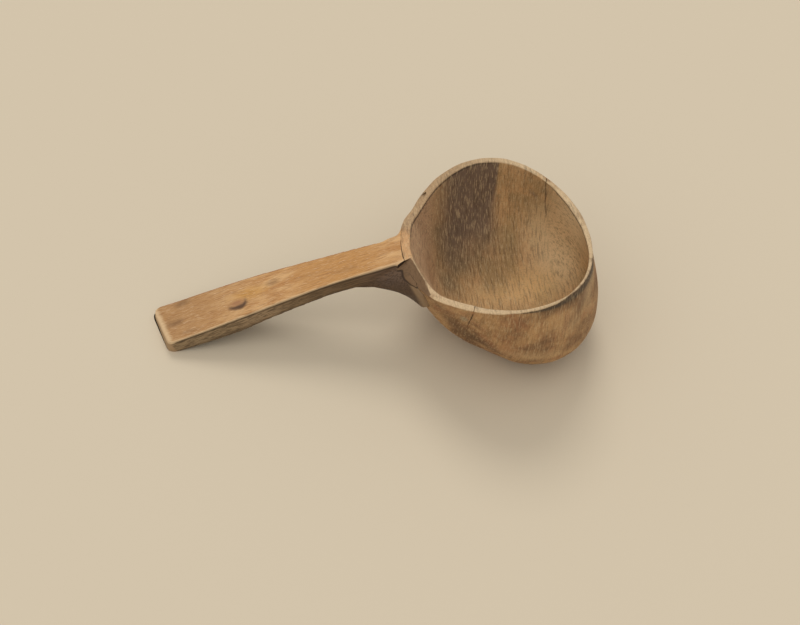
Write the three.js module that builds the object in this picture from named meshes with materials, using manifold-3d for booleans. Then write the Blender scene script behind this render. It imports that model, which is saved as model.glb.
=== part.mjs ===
// Wooden ladle with a round bowl and a flat sloping handle, lying as it rests on a table.
// Millimetres. +Z is up and the floor is z = 0. The handle points along -X, the bowl along +X.
// The origin is on the floor, under the lowest point of the bowl.

import * as THREE from "three";
import { mergeVertices } from "three/addons/utils/BufferGeometryUtils.js";
import Module from "manifold-3d";

// Bowl: outside
const bowlHalfLength = 53;
const bowlHalfWidth = 62;
const bowlNarrowing = 3;
const bowlDepth = 64.3;
const bowlRoundness = 3.16;
const bellyForward = 15.8;
const bellySideways = 4.4;
const bellyPower = 1.5;
const restTilt = THREE.MathUtils.degToRad(7.5);

// Bowl: flatter stretch of the near wall beside the handle
const flatPlace = THREE.MathUtils.degToRad(232.5);
const flatWidth = THREE.MathUtils.degToRad(27.5);
const flatAtRim = 3;
const flatBelow = 5.6;

// Bowl: rim height, sides higher than the ends, and a raised stretch behind the handle's head
const rimSideRise = 6.3;
const rimTwist = 1;
const rimHandleRise = 8.5;
const headHalfWidth = 14;
const rimRiseEnd = THREE.MathUtils.degToRad(40);

// Bowl: walls, thinner along one stretch of the near rim
const rimFarWall = 3.6;
const rimSideWall = 4.2;
const rimHandleWall = 5.6;
const thinPlace = THREE.MathUtils.degToRad(300);
const thinWidth = THREE.MathUtils.degToRad(45);
const rimThinning = 2.3;
const bowlFloor = 7;
const farWallThickening = 2;
const heelThickening = 4;
const heelReach = 36;
const footCut = 1;

// Facet pared off the near side of the rim and of the handle's head, steeper away from the head
const facetStartAngle = THREE.MathUtils.degToRad(7);
const facetEndAngle = THREE.MathUtils.degToRad(35.5);
const facetInset = 0.8;
const facetLean = THREE.MathUtils.degToRad(40);
const facetHeadLean = THREE.MathUtils.degToRad(58);
const facetTwistPower = 3;

// Handle slab, seen in its own frame
const handleLength = 141.5;
const handleThickness = 9.2;
const nearNeck = 9;
const nearFlare = 7;
const nearFlareStart = 35;
const nearFlareEnd = 150;
const farNeck = 10.3;
const farFlare = 5.9;
const farFlareEnd = 100;
const tipSkew = 12.5;
const tipNearRadius = 3;
const tipFarRadius = 6;
const endSlant = 5;
const endSlantStart = 0.9;
const swellingPlace = 103;
const swellingDepth = 1.5;
const swellingLength = 20;
const slabStart = 6;

// Root of the handle, a leaf let into the end wall of the bowl
const nearLeafAngle = THREE.MathUtils.degToRad(29);
const nearLeafDrop = 6;
const nearLeafEnd = 9;
const farLeafAngle = THREE.MathUtils.degToRad(39);
const farLeafDrop = 12;
const farLeafEnd = 2.4;
const leafHeight = 33;
const leafPower = 0.8;
const leafLip = 0.4;
const housingDepth = 0.8;
const rootReach = 30;
const rootNearFade = 6.5;
const rootFarFade = 2.2;
const rootUnderFade = 8.2;
const nearSpreadStart = 2;
const nearSpreadEnd = 14;
const farSpreadEnd = 7;

// Ears of the head, one on each side of the neck
const nearEarWidth = 1.6;
const nearEarStart = 5.5;
const nearEarEnd = 3.5;
const farEarWidth = 1.8;
const farEarStart = 11;
const farEarEnd = 7;

// Stub tenon on the root, and the gap that the joint keeps all round
const tenonShoulder = 2.5;
const tenonHeight = 8;
const tenonLength = 3.4;
const tenonBelowSlab = 2.4;
const jointGap = 0.3;
const headStep = 0.25;

// Mesh density
const ringSegments = 72;
const wallRings = 14;
const wallRingSpacing = 1.3;
const restRings = 200;
const leafColumns = 44;
const leafRows = 16;
const slabColumns = 14;
const slabRows = 24;
const slabRowSpacing = 1.6;
const facetSteps = 16;
const facetRowShares = [-1, -0.35, -0.2, -0.1, 0, 0.1, 0.2, 1];
const mergeDistance = 1e-4;

// Half size of the blocks that cut away a whole side of a piece, and of the one that pares the facet
const cutReach = 400;
const facetReach = 40;

const bowlWood = new THREE.MeshStandardMaterial({ color: 0x8a5a36, roughness: 0.75, metalness: 0 });
const handleWood = new THREE.MeshStandardMaterial({ color: 0xc08850, roughness: 0.7, metalness: 0 });

const wasm = await Module();
wasm.setup();

// A closed three.js geometry as a manifold solid
function toSolid(geometry) {
  const plain = geometry.clone();
  plain.deleteAttribute("normal");
  plain.deleteAttribute("uv");
  const merged = mergeVertices(plain, mergeDistance);
  const vertProperties = new Float32Array(merged.attributes.position.array);
  const triVerts = new Uint32Array(merged.index.array);
  return new wasm.Manifold(new wasm.Mesh({ numProp: 3, vertProperties, triVerts }));
}

// A manifold solid as a three.js mesh
function toMesh(solid, name, material) {
  const data = solid.getMesh();
  const geometry = new THREE.BufferGeometry();
  geometry.setAttribute("position", new THREE.BufferAttribute(data.vertProperties, 3));
  geometry.setIndex(new THREE.BufferAttribute(data.triVerts, 1));
  geometry.computeVertexNormals();
  const mesh = new THREE.Mesh(geometry, material);
  mesh.name = name;
  return mesh;
}

// Closed geometry through a stack of rings with the same number of points,
// each running counter-clockwise as seen from the last ring, with a fan at both ends
function solidFromRings(rings) {
  const count = rings[0].length;
  const vertices = rings.flat();
  const first = vertices.length;
  const last = first + 1;
  for (const ring of [rings[0], rings[rings.length - 1]]) {
    const middle = new THREE.Vector3();
    ring.forEach((point) => middle.add(point));
    vertices.push(middle.divideScalar(count));
  }
  const faces = [];
  for (let row = 0; row < rings.length - 1; row += 1) {
    for (let i = 0; i < count; i += 1) {
      const j = (i + 1) % count;
      const a = row * count + i;
      const b = row * count + j;
      faces.push(a, b, b + count, a, b + count, a + count);
    }
  }
  const end = (rings.length - 1) * count;
  for (let i = 0; i < count; i += 1) {
    const j = (i + 1) % count;
    faces.push(first, j, i, last, end + i, end + j);
  }
  const geometry = new THREE.BufferGeometry().setFromPoints(vertices);
  geometry.setIndex(faces);
  return geometry;
}

// Half the angle on the rim that the handle's head takes up
const headHalfAngle = Math.asin(headHalfWidth / bowlHalfWidth);

// Angle from the handle's direction, 0 at the handle and pi at the far end
function fromHandle(angle) {
  return Math.abs(Math.PI - (((angle % (2 * Math.PI)) + 2 * Math.PI) % (2 * Math.PI)));
}

// 1 behind the handle, falling smoothly to 0 at the end of the raised stretch
function handleSide(angle) {
  return 1 - THREE.MathUtils.smoothstep(fromHandle(angle), headHalfAngle, rimRiseEnd);
}

function rimHeight(angle) {
  const wave = rimSideRise * Math.cos(2 * angle) + rimTwist * Math.sin(2 * angle);
  return rimHandleRise * handleSide(angle) - wave;
}

// 1 at one place round the bowl, falling off to both sides
function around(angle, middle, width) {
  const turn = angle - middle;
  const away = Math.atan2(Math.sin(turn), Math.cos(turn));
  return Math.exp(-((away / width) ** 2));
}

// How far the near wall beside the handle lies inside the even curve
function flattening(angle, sink) {
  return (flatAtRim + flatBelow * Math.sin(Math.PI * sink)) * around(angle, flatPlace, flatWidth);
}

// Share of the rim's plan size that is left at a given share of the depth
function roundedShare(sink) {
  return Math.max(1 - sink ** bowlRoundness, 0) ** (1 / bowlRoundness);
}

// Point on the outside of the bowl in the bowl's own frame: rim centre at the origin
function outerPoint(angle, sink) {
  const share = roundedShare(sink);
  const drift = sink ** bellyPower;
  const flat = flattening(angle, sink);
  const halfWidth = bowlHalfWidth + bowlNarrowing * Math.cos(angle) - flat;
  return new THREE.Vector3(
    (bowlHalfLength - flat) * Math.cos(angle) * share + bellyForward * drift,
    halfWidth * Math.sin(angle) * share - bellySideways * drift,
    rimHeight(angle) * (1 - sink) - bowlDepth * sink,
  );
}

// Point on the inside of the bowl, in the same frame
function innerPoint(angle, sink) {
  const share = roundedShare(sink);
  const drift = sink ** bellyPower;
  const thinning = rimThinning * (1 - sink) * around(angle, thinPlace, thinWidth);
  const flat = flattening(angle, sink) - thinning;
  const halfLength = bowlHalfLength - (rimFarWall + rimHandleWall) / 2 - flat;
  const middle = (rimHandleWall - rimFarWall) / 2;
  const halfWidth = bowlHalfWidth - rimSideWall + bowlNarrowing * Math.cos(angle) - flat;
  const innerDepth = bowlDepth - bowlFloor;
  const heelShare = Math.min(sink * innerDepth / heelReach, 1);
  const heel = heelThickening * handleSide(angle) * Math.sin(Math.PI * heelShare);
  return new THREE.Vector3(
    middle + halfLength * Math.cos(angle) * share + (bellyForward - farWallThickening) * drift + heel,
    halfWidth * Math.sin(angle) * share - bellySideways * drift,
    rimHeight(angle) * (1 - sink) - innerDepth * sink,
  );
}

// Share of the depth at each ring, spaced evenly round the curve from the rim to the bottom
function sinkAt(row) {
  const turn = (row / wallRings) ** wallRingSpacing * Math.PI / 2;
  return Math.sin(turn) ** (2 / bowlRoundness);
}

function ring(point, sink) {
  const points = [];
  for (let i = 0; i < ringSegments; i += 1) {
    points.push(point((i + 0.5) * 2 * Math.PI / ringSegments, sink));
  }
  return points;
}

// The bowl's frame at rest: tipped towards the handle, with its lowest point beside the origin
function findRest() {
  const turn = new THREE.Matrix4().makeRotationY(-restTilt);
  const low = new THREE.Vector3(0, 0, Infinity);
  for (let row = 0; row <= restRings; row += 1) {
    for (const point of ring(outerPoint, row / restRings)) {
      point.applyMatrix4(turn);
      if (point.z < low.z) {
        low.copy(point);
      }
    }
  }
  return new THREE.Matrix4().makeTranslation(-low.x, 0, -low.z - footCut).multiply(turn);
}

const rest = findRest();
const headTop = outerPoint(Math.PI, 0).applyMatrix4(rest);
headTop.z -= headStep;

// Slope at which the lower edge of the handle's tip meets the floor
const handleSlope = Math.asin((headTop.z + footCut) / Math.hypot(handleLength, handleThickness))
  - Math.atan2(handleThickness, handleLength);

// The handle's frame at rest: +X outwards along its top face, +Z out of the top face
const handleFrame = new THREE.Matrix4().makeTranslation(headTop.x, 0, headTop.z)
  .multiply(new THREE.Matrix4().makeRotationY(-handleSlope))
  .multiply(new THREE.Matrix4().makeRotationZ(Math.PI));

// Box between two opposite corners
function block(low, high) {
  const size = new THREE.Vector3().subVectors(high, low);
  const middle = new THREE.Vector3().addVectors(low, high).multiplyScalar(0.5);
  return new THREE.BoxGeometry(size.x, size.y, size.z).translate(middle.x, middle.y, middle.z);
}

const belowFloor = toSolid(block(
  new THREE.Vector3(-cutReach, -cutReach, -cutReach),
  new THREE.Vector3(cutReach, cutReach, 0),
));

// Direction along the handle, in the bowl's own frame
const alongHandle = new THREE.Vector3(
  -Math.cos(handleSlope - restTilt),
  0,
  -Math.sin(handleSlope - restTilt),
);

// Angle from the handle's middle and depth of both edges of the leaf, share being -1 far to 1 near
function leafEdges(share) {
  const near = share > 0;
  const half = near ? nearLeafAngle : farLeafAngle;
  const drop = near ? nearLeafDrop : farLeafDrop;
  const end = drop + (near ? nearLeafEnd : farLeafEnd);
  const fullness = Math.max(Math.cos(share * Math.PI / 2), 0) ** leafPower;
  const high = drop * THREE.MathUtils.smoothstep(half * Math.abs(share), headHalfAngle, half);
  return { away: half * share, high, low: end + (leafHeight - end) * fullness };
}

// How far an ear stands out of the wall, at an offset beyond the neck's side
function earReach(offset, width, start, end) {
  if (offset <= 0) {
    return rootReach;
  }
  return offset < width ? start - (start - end) * offset / width : 0;
}

// How far the root stands out along the handle: full at the neck, fading round it
function rootDepth(side, below) {
  const near = side < 0;
  const offset = near ? -side - nearNeck : side - farNeck;
  const ear = near
    ? earReach(offset, nearEarWidth, nearEarStart, nearEarEnd)
    : earReach(offset, farEarWidth, farEarStart, farEarEnd);
  const aside = Math.max(offset, 0) / (near ? rootNearFade : rootFarFade);
  const under = Math.max(below - handleThickness, 0) / rootUnderFade;
  const spread = rootReach * Math.exp(-Math.hypot(aside, under));
  const lowShare = near
    ? THREE.MathUtils.smoothstep(below, nearSpreadStart, nearSpreadEnd)
    : THREE.MathUtils.smoothstep(below, 0, farSpreadEnd);
  return ear * (1 - lowShare) + spread * lowShare;
}

// Leaf-shaped patch of the bowl's wall, from a depth inside it to a lip and a root outside it
function wallPatch(inside, lip, outside, grow) {
  const rings = [];
  for (let column = 0; column <= leafColumns; column += 1) {
    const share = 2 * column / leafColumns - 1;
    const { away, high, low } = leafEdges(share);
    const angle = Math.PI + away + grow / bowlHalfLength * share;
    const shift = new THREE.Vector3(
      Math.cos(angle) * bowlHalfWidth,
      Math.sin(angle) * bowlHalfLength,
      0,
    ).normalize();
    const inner = [];
    const outer = [];
    for (let row = 0; row <= leafRows; row += 1) {
      const below = high - grow + (low - high + 2 * grow) * row / leafRows;
      const wall = outerPoint(angle, Math.max(below, 0) / bowlDepth);
      wall.z -= Math.min(below, 0);
      inner.push(wall.clone().addScaledVector(shift, -inside));
      outer.push(wall.clone().addScaledVector(shift, lip).addScaledVector(alongHandle, outside(wall.y, below)));
    }
    rings.push([...outer, ...inner.reverse()]);
  }
  return solidFromRings(rings).applyMatrix4(rest);
}

// Half width of the slab at a distance from the head, on the near or the far side
function slabHalfWidth(along, near) {
  if (near) {
    return nearNeck + nearFlare * THREE.MathUtils.smoothstep(along, nearFlareStart, nearFlareEnd);
  }
  const share = THREE.MathUtils.clamp(along / farFlareEnd, 0, 1);
  return farNeck + farFlare * Math.sin(share * Math.PI / 2);
}

// Thickness of the slab at a distance from the head
function slabThickness(along) {
  return handleThickness + swellingDepth * Math.exp(-(((along - swellingPlace) / swellingLength) ** 2));
}

// A point of the square tip corner pulled onto a round one
function roundedCorner(along, across, end, half, radius) {
  const ahead = (along - (end - radius)) / radius;
  const aside = (Math.abs(across) - (half - radius)) / radius;
  if (ahead <= 0 || aside <= 0) {
    return { along, across };
  }
  const pull = Math.max(ahead, aside) / Math.hypot(ahead, aside);
  return {
    along: end - radius + ahead * pull * radius,
    across: Math.sign(across) * (half - radius + aside * pull * radius),
  };
}

// Point of the slab in the handle's frame: x from the head to the tip, y to the near side
function slabPoint(lengthShare, widthShare, lower) {
  const near = widthShare > 0;
  const end = handleLength + tipSkew * (1 - widthShare) / 2;
  const straight = slabStart + (end - slabStart) * lengthShare;
  const half = slabHalfWidth(straight, near);
  const radius = near ? tipNearRadius : tipFarRadius;
  const { along, across } = roundedCorner(straight, half * widthShare, end, half, radius);
  if (!lower) {
    return new THREE.Vector3(along, across, 0);
  }
  const slanted = along + endSlant * THREE.MathUtils.smoothstep(lengthShare, endSlantStart, 1);
  return new THREE.Vector3(slanted, across, -slabThickness(slanted));
}

// Flat slab of the handle with a skewed tip, its rows closer together towards the tip
function handleSlab() {
  const rings = [];
  for (let row = 0; row <= slabRows; row += 1) {
    const lengthShare = 1 - (1 - row / slabRows) ** slabRowSpacing;
    const upper = [];
    const lower = [];
    for (let column = 0; column <= slabColumns; column += 1) {
      const widthShare = Math.cos(column / slabColumns * Math.PI);
      upper.push(slabPoint(lengthShare, widthShare, false));
      lower.push(slabPoint(lengthShare, widthShare, true));
    }
    rings.push([...upper, ...lower.reverse()]);
  }
  return solidFromRings(rings).applyMatrix4(handleFrame);
}

// Stub tenon, or with a gap all round the mortise that takes it
function tenon(gap) {
  const start = headTop.x + housingDepth / 2;
  const end = headTop.x + housingDepth + tenonLength + gap;
  const halfWidth = nearNeck - tenonShoulder + gap;
  const middle = headTop.z - handleThickness - tenonBelowSlab;
  const halfHeight = tenonHeight / 2 + gap;
  return block(
    new THREE.Vector3(start, -halfWidth, middle - halfHeight),
    new THREE.Vector3(end, halfWidth, middle + halfHeight),
  );
}

// Twisted block that pares the facet, with its cutting side just outside the rim's inner edge
function facetCutter() {
  const start = innerPoint(Math.PI + facetStartAngle, 0).applyMatrix4(rest);
  const end = innerPoint(Math.PI + facetEndAngle, 0).applyMatrix4(rest);
  const length = Math.hypot(end.x - start.x, end.y - start.y);
  const rings = [];
  for (let step = 0; step <= facetSteps; step += 1) {
    const share = step / facetSteps;
    const lean = facetLean + (facetHeadLean - facetLean) * (1 - share) ** facetTwistPower;
    const turn = new THREE.Matrix4().makeRotationY(lean);
    const section = facetRowShares.map((row) => [0, row * facetReach]);
    section.push([-facetReach, facetReach], [-facetReach, -facetReach]);
    rings.push(section.map(([x, z]) => new THREE.Vector3(x, -length * share, z).applyMatrix4(turn)));
  }
  return solidFromRings(rings)
    .translate(-facetInset, 0, 0)
    .rotateZ(Math.atan2(end.x - start.x, start.y - end.y))
    .translate(start.x, start.y, start.z);
}

function bowlMesh() {
  const outerRings = [];
  const innerRings = [];
  for (let row = 0; row < wallRings; row += 1) {
    outerRings.push(ring(outerPoint, sinkAt(row)));
    innerRings.push(ring(innerPoint, sinkAt(row)));
  }
  const shell = solidFromRings([...outerRings.reverse(), ...innerRings]).applyMatrix4(rest);
  const housing = wallPatch(housingDepth, leafLip, () => housingDepth, jointGap);
  return toMesh(
    toSolid(shell)
      .subtract(toSolid(housing))
      .subtract(toSolid(tenon(jointGap)))
      .subtract(toSolid(facetCutter()))
      .subtract(belowFloor),
    "bowl",
    bowlWood,
  );
}

function handleMesh() {
  const root = wallPatch(housingDepth - jointGap, leafLip, rootDepth, 0);
  const aboveTop = block(
    new THREE.Vector3(-cutReach, -cutReach, 0),
    new THREE.Vector3(cutReach, cutReach, cutReach),
  ).applyMatrix4(handleFrame);
  return toMesh(
    toSolid(root)
      .add(toSolid(handleSlab()))
      .subtract(toSolid(aboveTop))
      .add(toSolid(tenon(0)))
      .subtract(toSolid(facetCutter()))
      .subtract(belowFloor),
    "handle",
    handleWood,
  );
}

const ladle = new THREE.Group();
ladle.add(bowlMesh(), handleMesh());

export default ladle;
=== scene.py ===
# %% [markdown]
# A carved wooden ladle
#
# The ladle is a deep round bowl with a flat handle let into its end wall. Both were cut from
# wood with an axe, a knife and a hook-shaped blade, and then used for years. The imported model
# gives the true sizes. This lesson builds each piece again with soft edges, worn wood and
# cracks, and lays it exactly over its plain solid.

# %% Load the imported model
import math

import bmesh
import bpy
from mathutils import Matrix, Vector, noise
from mathutils.bvhtree import BVHTree
from mathutils.geometry import intersect_point_line


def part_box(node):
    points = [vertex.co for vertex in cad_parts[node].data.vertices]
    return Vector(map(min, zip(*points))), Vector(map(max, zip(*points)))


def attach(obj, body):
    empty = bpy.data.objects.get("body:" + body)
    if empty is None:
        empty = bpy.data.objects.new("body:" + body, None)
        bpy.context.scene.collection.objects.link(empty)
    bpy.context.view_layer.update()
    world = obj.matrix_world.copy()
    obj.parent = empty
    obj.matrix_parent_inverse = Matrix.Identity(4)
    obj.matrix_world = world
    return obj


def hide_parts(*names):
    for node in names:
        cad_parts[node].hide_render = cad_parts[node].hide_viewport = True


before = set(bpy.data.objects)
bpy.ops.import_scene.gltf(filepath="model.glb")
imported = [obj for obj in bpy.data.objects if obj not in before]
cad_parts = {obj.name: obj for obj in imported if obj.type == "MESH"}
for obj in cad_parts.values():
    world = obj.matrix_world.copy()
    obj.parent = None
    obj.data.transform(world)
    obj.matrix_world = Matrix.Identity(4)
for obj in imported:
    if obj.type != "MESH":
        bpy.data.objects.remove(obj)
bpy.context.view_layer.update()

# %% [markdown]
# Units
#
# Woodworkers measure in millimetres and Blender in metres. Every size below is written in
# millimetres, and a mesh is turned to metres once, when it becomes an object. The object stays
# at the origin, so its pattern and its place are both read from the mesh.

# %% From a bmesh in millimetres to an object in metres
MM = 0.001
CREASE_ANGLE = math.radians(38)


def finish_with(target, material):
    """Give an object one material all over."""
    target.data.materials.clear()
    target.data.materials.append(material)
    for face in target.data.polygons:
        face.material_index = 0


def make_object(bm, name):
    """Turn a bmesh in millimetres into a smooth-shaded object in metres."""
    bmesh.ops.scale(bm, vec=(MM, MM, MM), verts=bm.verts)
    mesh = bpy.data.meshes.new(name)
    bm.to_mesh(mesh)
    bm.free()
    mesh.shade_smooth()
    mesh.set_sharp_from_angle(angle=CREASE_ANGLE)
    made = bpy.data.objects.new(name, mesh)
    bpy.context.scene.collection.objects.link(made)
    print(name, "has", len(mesh.polygons), "faces")
    return made


def bmesh_of(source):
    """Read an object's mesh back into a bmesh in millimetres."""
    bm = bmesh.new()
    bm.from_mesh(source.data)
    bmesh.ops.scale(bm, vec=(1 / MM, 1 / MM, 1 / MM), verts=bm.verts)
    return bm


def apply_modifiers(target):
    """Keep what the modifiers make and drop the modifiers."""
    depsgraph = bpy.context.evaluated_depsgraph_get()
    finished = bpy.data.meshes.new_from_object(target.evaluated_get(depsgraph))
    target.modifiers.clear()
    old = target.data
    target.data = finished
    bpy.data.meshes.remove(old)


print("one millimetre is", MM, "metres")

# %% [markdown]
# Camera
#
# The eye looks down at 48 degrees from the front, a little from the left, with a slight roll.
# Its numbers were found by laying the rim, the bowl's outline and the handle's corners over the
# drawn ones. The camera comes first, because a crack or a knot is then placed where a line of
# sight meets the wood, and so it sits on the surface from every other side as well.

# %% Put the camera where the picture was drawn from
VIEW_TURN = math.radians(-7.303)
VIEW_HEIGHT = math.radians(48.078)
VIEW_ROLL = math.radians(2.24)
VIEW_DISTANCE = 621.0
VIEW_AIM = Vector((-7.93, 0, -0.48))
VIEW_RIGHTWARD = -49.579
VIEW_UPWARD = 1.181
PICTURE_WIDTH = 800
PICTURE_HEIGHT = 625
FOCAL_PIXELS = 1036.4
SENSOR_WIDTH = 36

backward = Vector((
    math.sin(VIEW_TURN) * math.cos(VIEW_HEIGHT),
    -math.cos(VIEW_TURN) * math.cos(VIEW_HEIGHT),
    math.sin(VIEW_HEIGHT),
))
level_right = Vector((math.cos(VIEW_TURN), math.sin(VIEW_TURN), 0))
level_up = backward.cross(level_right)
rightward = math.cos(VIEW_ROLL) * level_right + math.sin(VIEW_ROLL) * level_up
upward = math.cos(VIEW_ROLL) * level_up - math.sin(VIEW_ROLL) * level_right
eye = VIEW_AIM + VIEW_DISTANCE * backward + VIEW_RIGHTWARD * rightward + VIEW_UPWARD * upward

camera_data = bpy.data.cameras.new("camera")
camera_data.sensor_width = SENSOR_WIDTH
camera_data.lens = FOCAL_PIXELS / PICTURE_WIDTH * SENSOR_WIDTH
camera = bpy.data.objects.new("camera", camera_data)
facing_turn = Matrix((rightward, upward, backward)).transposed().to_4x4()
camera.matrix_world = Matrix.Translation(eye * MM) @ facing_turn
bpy.context.scene.collection.objects.link(camera)
bpy.context.scene.camera = camera


def sight_line(across, down):
    """Direction from the eye through a place in the picture, in pixels from its top left."""
    aside = (across - PICTURE_WIDTH / 2) / FOCAL_PIXELS
    above = (PICTURE_HEIGHT / 2 - down) / FOCAL_PIXELS
    return (aside * rightward + above * upward - backward).normalized()


def seen_at(tree, across, down):
    """Point of a surface, and the way it faces, that shows at a place in the picture."""
    place, facing, _, _ = tree.ray_cast(eye, sight_line(across, down))
    return place, facing


print("camera lens in millimetres:", round(camera_data.lens, 2))

# %% [markdown]
# The bowl's shape
#
# A turned bowl would be round. This one is cut by hand: the outline is a little wider than
# long, the belly swells forward under the far rim, and the rim dips and rises. So the mesh
# starts as the lower half of a sphere. Each point is pushed out to a squarer curve, and a
# second function stretches the curve to the bowl's real sizes. The inside is made the same
# way with smaller sizes, which leaves walls that are thin at the rim and thick at the bottom.

# %% Sizes of the bowl
BOWL_HALF_LENGTH = 53
BOWL_HALF_WIDTH = 62
BOWL_NARROWING = 3
BOWL_DEPTH = 64.3
BOWL_ROUNDNESS = 3.16
BELLY_FORWARD = 15.8
BELLY_SIDEWAYS = 4.4
BELLY_POWER = 1.5
REST_TILT = math.radians(7.5)
FOOT_CUT = 1
print("the mouth is", 2 * BOWL_HALF_LENGTH, "by", 2 * BOWL_HALF_WIDTH, "mm")

# %% Rise and fall of the rim
RIM_SIDE_RISE = 6.3
RIM_TWIST = 1
RIM_HANDLE_RISE = 8.5
RIM_RISE_END = math.radians(40)
HEAD_HALF_WIDTH = 14
HEAD_HALF_ANGLE = math.asin(HEAD_HALF_WIDTH / BOWL_HALF_WIDTH)


def smooth_step(value, low, high):
    """0 below low, 1 above high and a smooth rise between them."""
    share = min(max((value - low) / (high - low), 0), 1)
    return share * share * (3 - 2 * share)


def from_handle(angle):
    """Angle on the rim from the handle's side, 0 at the handle and pi at the far end."""
    return abs(math.pi - angle % (2 * math.pi))


def handle_side(angle):
    """1 behind the handle, falling to 0 where the raised stretch of the rim ends."""
    return 1 - smooth_step(from_handle(angle), HEAD_HALF_ANGLE, RIM_RISE_END)


def rim_height(angle):
    """Height of the rim over its middle plane."""
    wave = RIM_SIDE_RISE * math.cos(2 * angle) + RIM_TWIST * math.sin(2 * angle)
    return RIM_HANDLE_RISE * handle_side(angle) - wave


dip = rim_height(math.pi) - rim_height(math.pi / 2)
print("the rim is", round(dip, 1), "mm higher at the handle than at the side")

# %% Outer and inner wall
FLAT_PLACE = math.radians(232.5)
FLAT_WIDTH = math.radians(27.5)
FLAT_AT_RIM = 3
FLAT_BELOW = 5.6
THIN_PLACE = math.radians(300)
THIN_WIDTH = math.radians(45)
RIM_THINNING = 2.3
RIM_FAR_WALL = 3.6
RIM_SIDE_WALL = 4.2
RIM_HANDLE_WALL = 5.6
BOWL_FLOOR = 7
FAR_WALL_THICKENING = 2
HEEL_THICKENING = 4
HEEL_REACH = 36


def around(angle, middle, width):
    """1 at one place round the bowl, falling off to both sides."""
    away = (angle - middle + math.pi) % (2 * math.pi) - math.pi
    return math.exp(-((away / width) ** 2))


def flattening(angle, sink):
    """How far the near wall beside the handle lies inside the even curve."""
    depth = FLAT_AT_RIM + FLAT_BELOW * math.sin(math.pi * sink)
    return depth * around(angle, FLAT_PLACE, FLAT_WIDTH)


def outer_wall(angle, share, sink):
    """Outside of the bowl. share is what is left of the plan size at a depth of sink, 0 to 1."""
    drift = sink ** BELLY_POWER
    flat = flattening(angle, sink)
    half_width = BOWL_HALF_WIDTH + BOWL_NARROWING * math.cos(angle) - flat
    return Vector((
        (BOWL_HALF_LENGTH - flat) * math.cos(angle) * share + BELLY_FORWARD * drift,
        half_width * math.sin(angle) * share - BELLY_SIDEWAYS * drift,
        rim_height(angle) * (1 - sink) - BOWL_DEPTH * sink,
    ))


def inner_wall(angle, share, sink):
    """Inside of the bowl, in the same way."""
    drift = sink ** BELLY_POWER
    flat = flattening(angle, sink) - RIM_THINNING * (1 - sink) * around(angle, THIN_PLACE, THIN_WIDTH)
    half_length = BOWL_HALF_LENGTH - (RIM_FAR_WALL + RIM_HANDLE_WALL) / 2 - flat
    middle = (RIM_HANDLE_WALL - RIM_FAR_WALL) / 2
    half_width = BOWL_HALF_WIDTH - RIM_SIDE_WALL + BOWL_NARROWING * math.cos(angle) - flat
    inner_depth = BOWL_DEPTH - BOWL_FLOOR
    heel_share = min(sink * inner_depth / HEEL_REACH, 1)
    heel = HEEL_THICKENING * handle_side(angle) * math.sin(math.pi * heel_share)
    forward = (BELLY_FORWARD - FAR_WALL_THICKENING) * drift + heel
    return Vector((
        middle + half_length * math.cos(angle) * share + forward,
        half_width * math.sin(angle) * share - BELLY_SIDEWAYS * drift,
        rim_height(angle) * (1 - sink) - inner_depth * sink,
    ))


print("the wall is", RIM_FAR_WALL, "mm thick at the far rim and", RIM_HANDLE_WALL, "mm at the handle")

# %% [markdown]
# The bowl at rest
#
# The ladle lies on its bowl, tipped towards the handle. One turn matrix tips the bowl. The
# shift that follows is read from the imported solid, so that both bowls share one place.

# %% Find the turn and the shift
PROFILE_STEPS = 400

_, bowl_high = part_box("bowl")
tilt = Matrix.Rotation(-REST_TILT, 4, "Y")


def share_at(sink):
    """Share of the plan size that is left at a depth of sink."""
    return max(1 - sink ** BOWL_ROUNDNESS, 0) ** (1 / BOWL_ROUNDNESS)


def profile():
    """Places down the middle of the tipped bowl, before its shift."""
    places = []
    for step in range(PROFILE_STEPS + 1):
        sink = step / PROFILE_STEPS
        for angle in (0, math.pi):
            places.append(tilt @ outer_wall(angle, share_at(sink), sink))
    return places


front = max(place.x for place in profile())
bottom = min(place.z for place in profile())
shift = Vector((bowl_high.x / MM - front, 0, -bottom - FOOT_CUT))
rest = Matrix.Translation(shift) @ tilt
head_top = rest @ outer_wall(math.pi, 1, 0)
print("the bowl is shifted by", [round(value, 2) for value in shift], "mm")

# %% [markdown]
# Cutting the bowl's shell
#
# A sphere from `create_uvsphere` has its points in rings, which suits a bowl. The upper half
# is deleted, the rest is pushed to the squarer curve, and two such shells are joined at the
# rim with `bridge_loops`. The inner shell is turned inside out, so that its faces look into
# the bowl.

# %% Wrap half a sphere onto a wall
ROUND_STEPS = 300
DOWN_STEPS = 78


def faces_of(points):
    """All faces that touch some vertices."""
    return list(dict.fromkeys(face for vertex in points for face in vertex.link_faces))


def open_edges(bm):
    """Edges with a face on one side only."""
    return [edge for edge in bm.edges if edge.is_boundary]


def half_shell(bm, wall):
    """Add half a sphere to the bmesh and wrap it onto one of the bowl's walls."""
    made = bmesh.ops.create_uvsphere(bm, u_segments=ROUND_STEPS, v_segments=2 * DOWN_STEPS, radius=1)
    half_a_ring = 1 / DOWN_STEPS / 2
    upper = [vertex for vertex in made["verts"] if vertex.co.z > half_a_ring]
    bmesh.ops.delete(bm, geom=upper, context="VERTS")
    shell = [vertex for vertex in made["verts"] if vertex.is_valid]
    for vertex in shell:
        flat = math.hypot(vertex.co.x, vertex.co.y)
        deep = max(-vertex.co.z, 0)
        growth = (flat ** BOWL_ROUNDNESS + deep ** BOWL_ROUNDNESS) ** (-1 / BOWL_ROUNDNESS)
        angle = math.atan2(vertex.co.y, vertex.co.x)
        vertex.co = rest @ wall(angle, flat * growth, min(deep * growth, 1))
    return shell


print("each shell has", ROUND_STEPS, "by", DOWN_STEPS, "faces")

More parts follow.
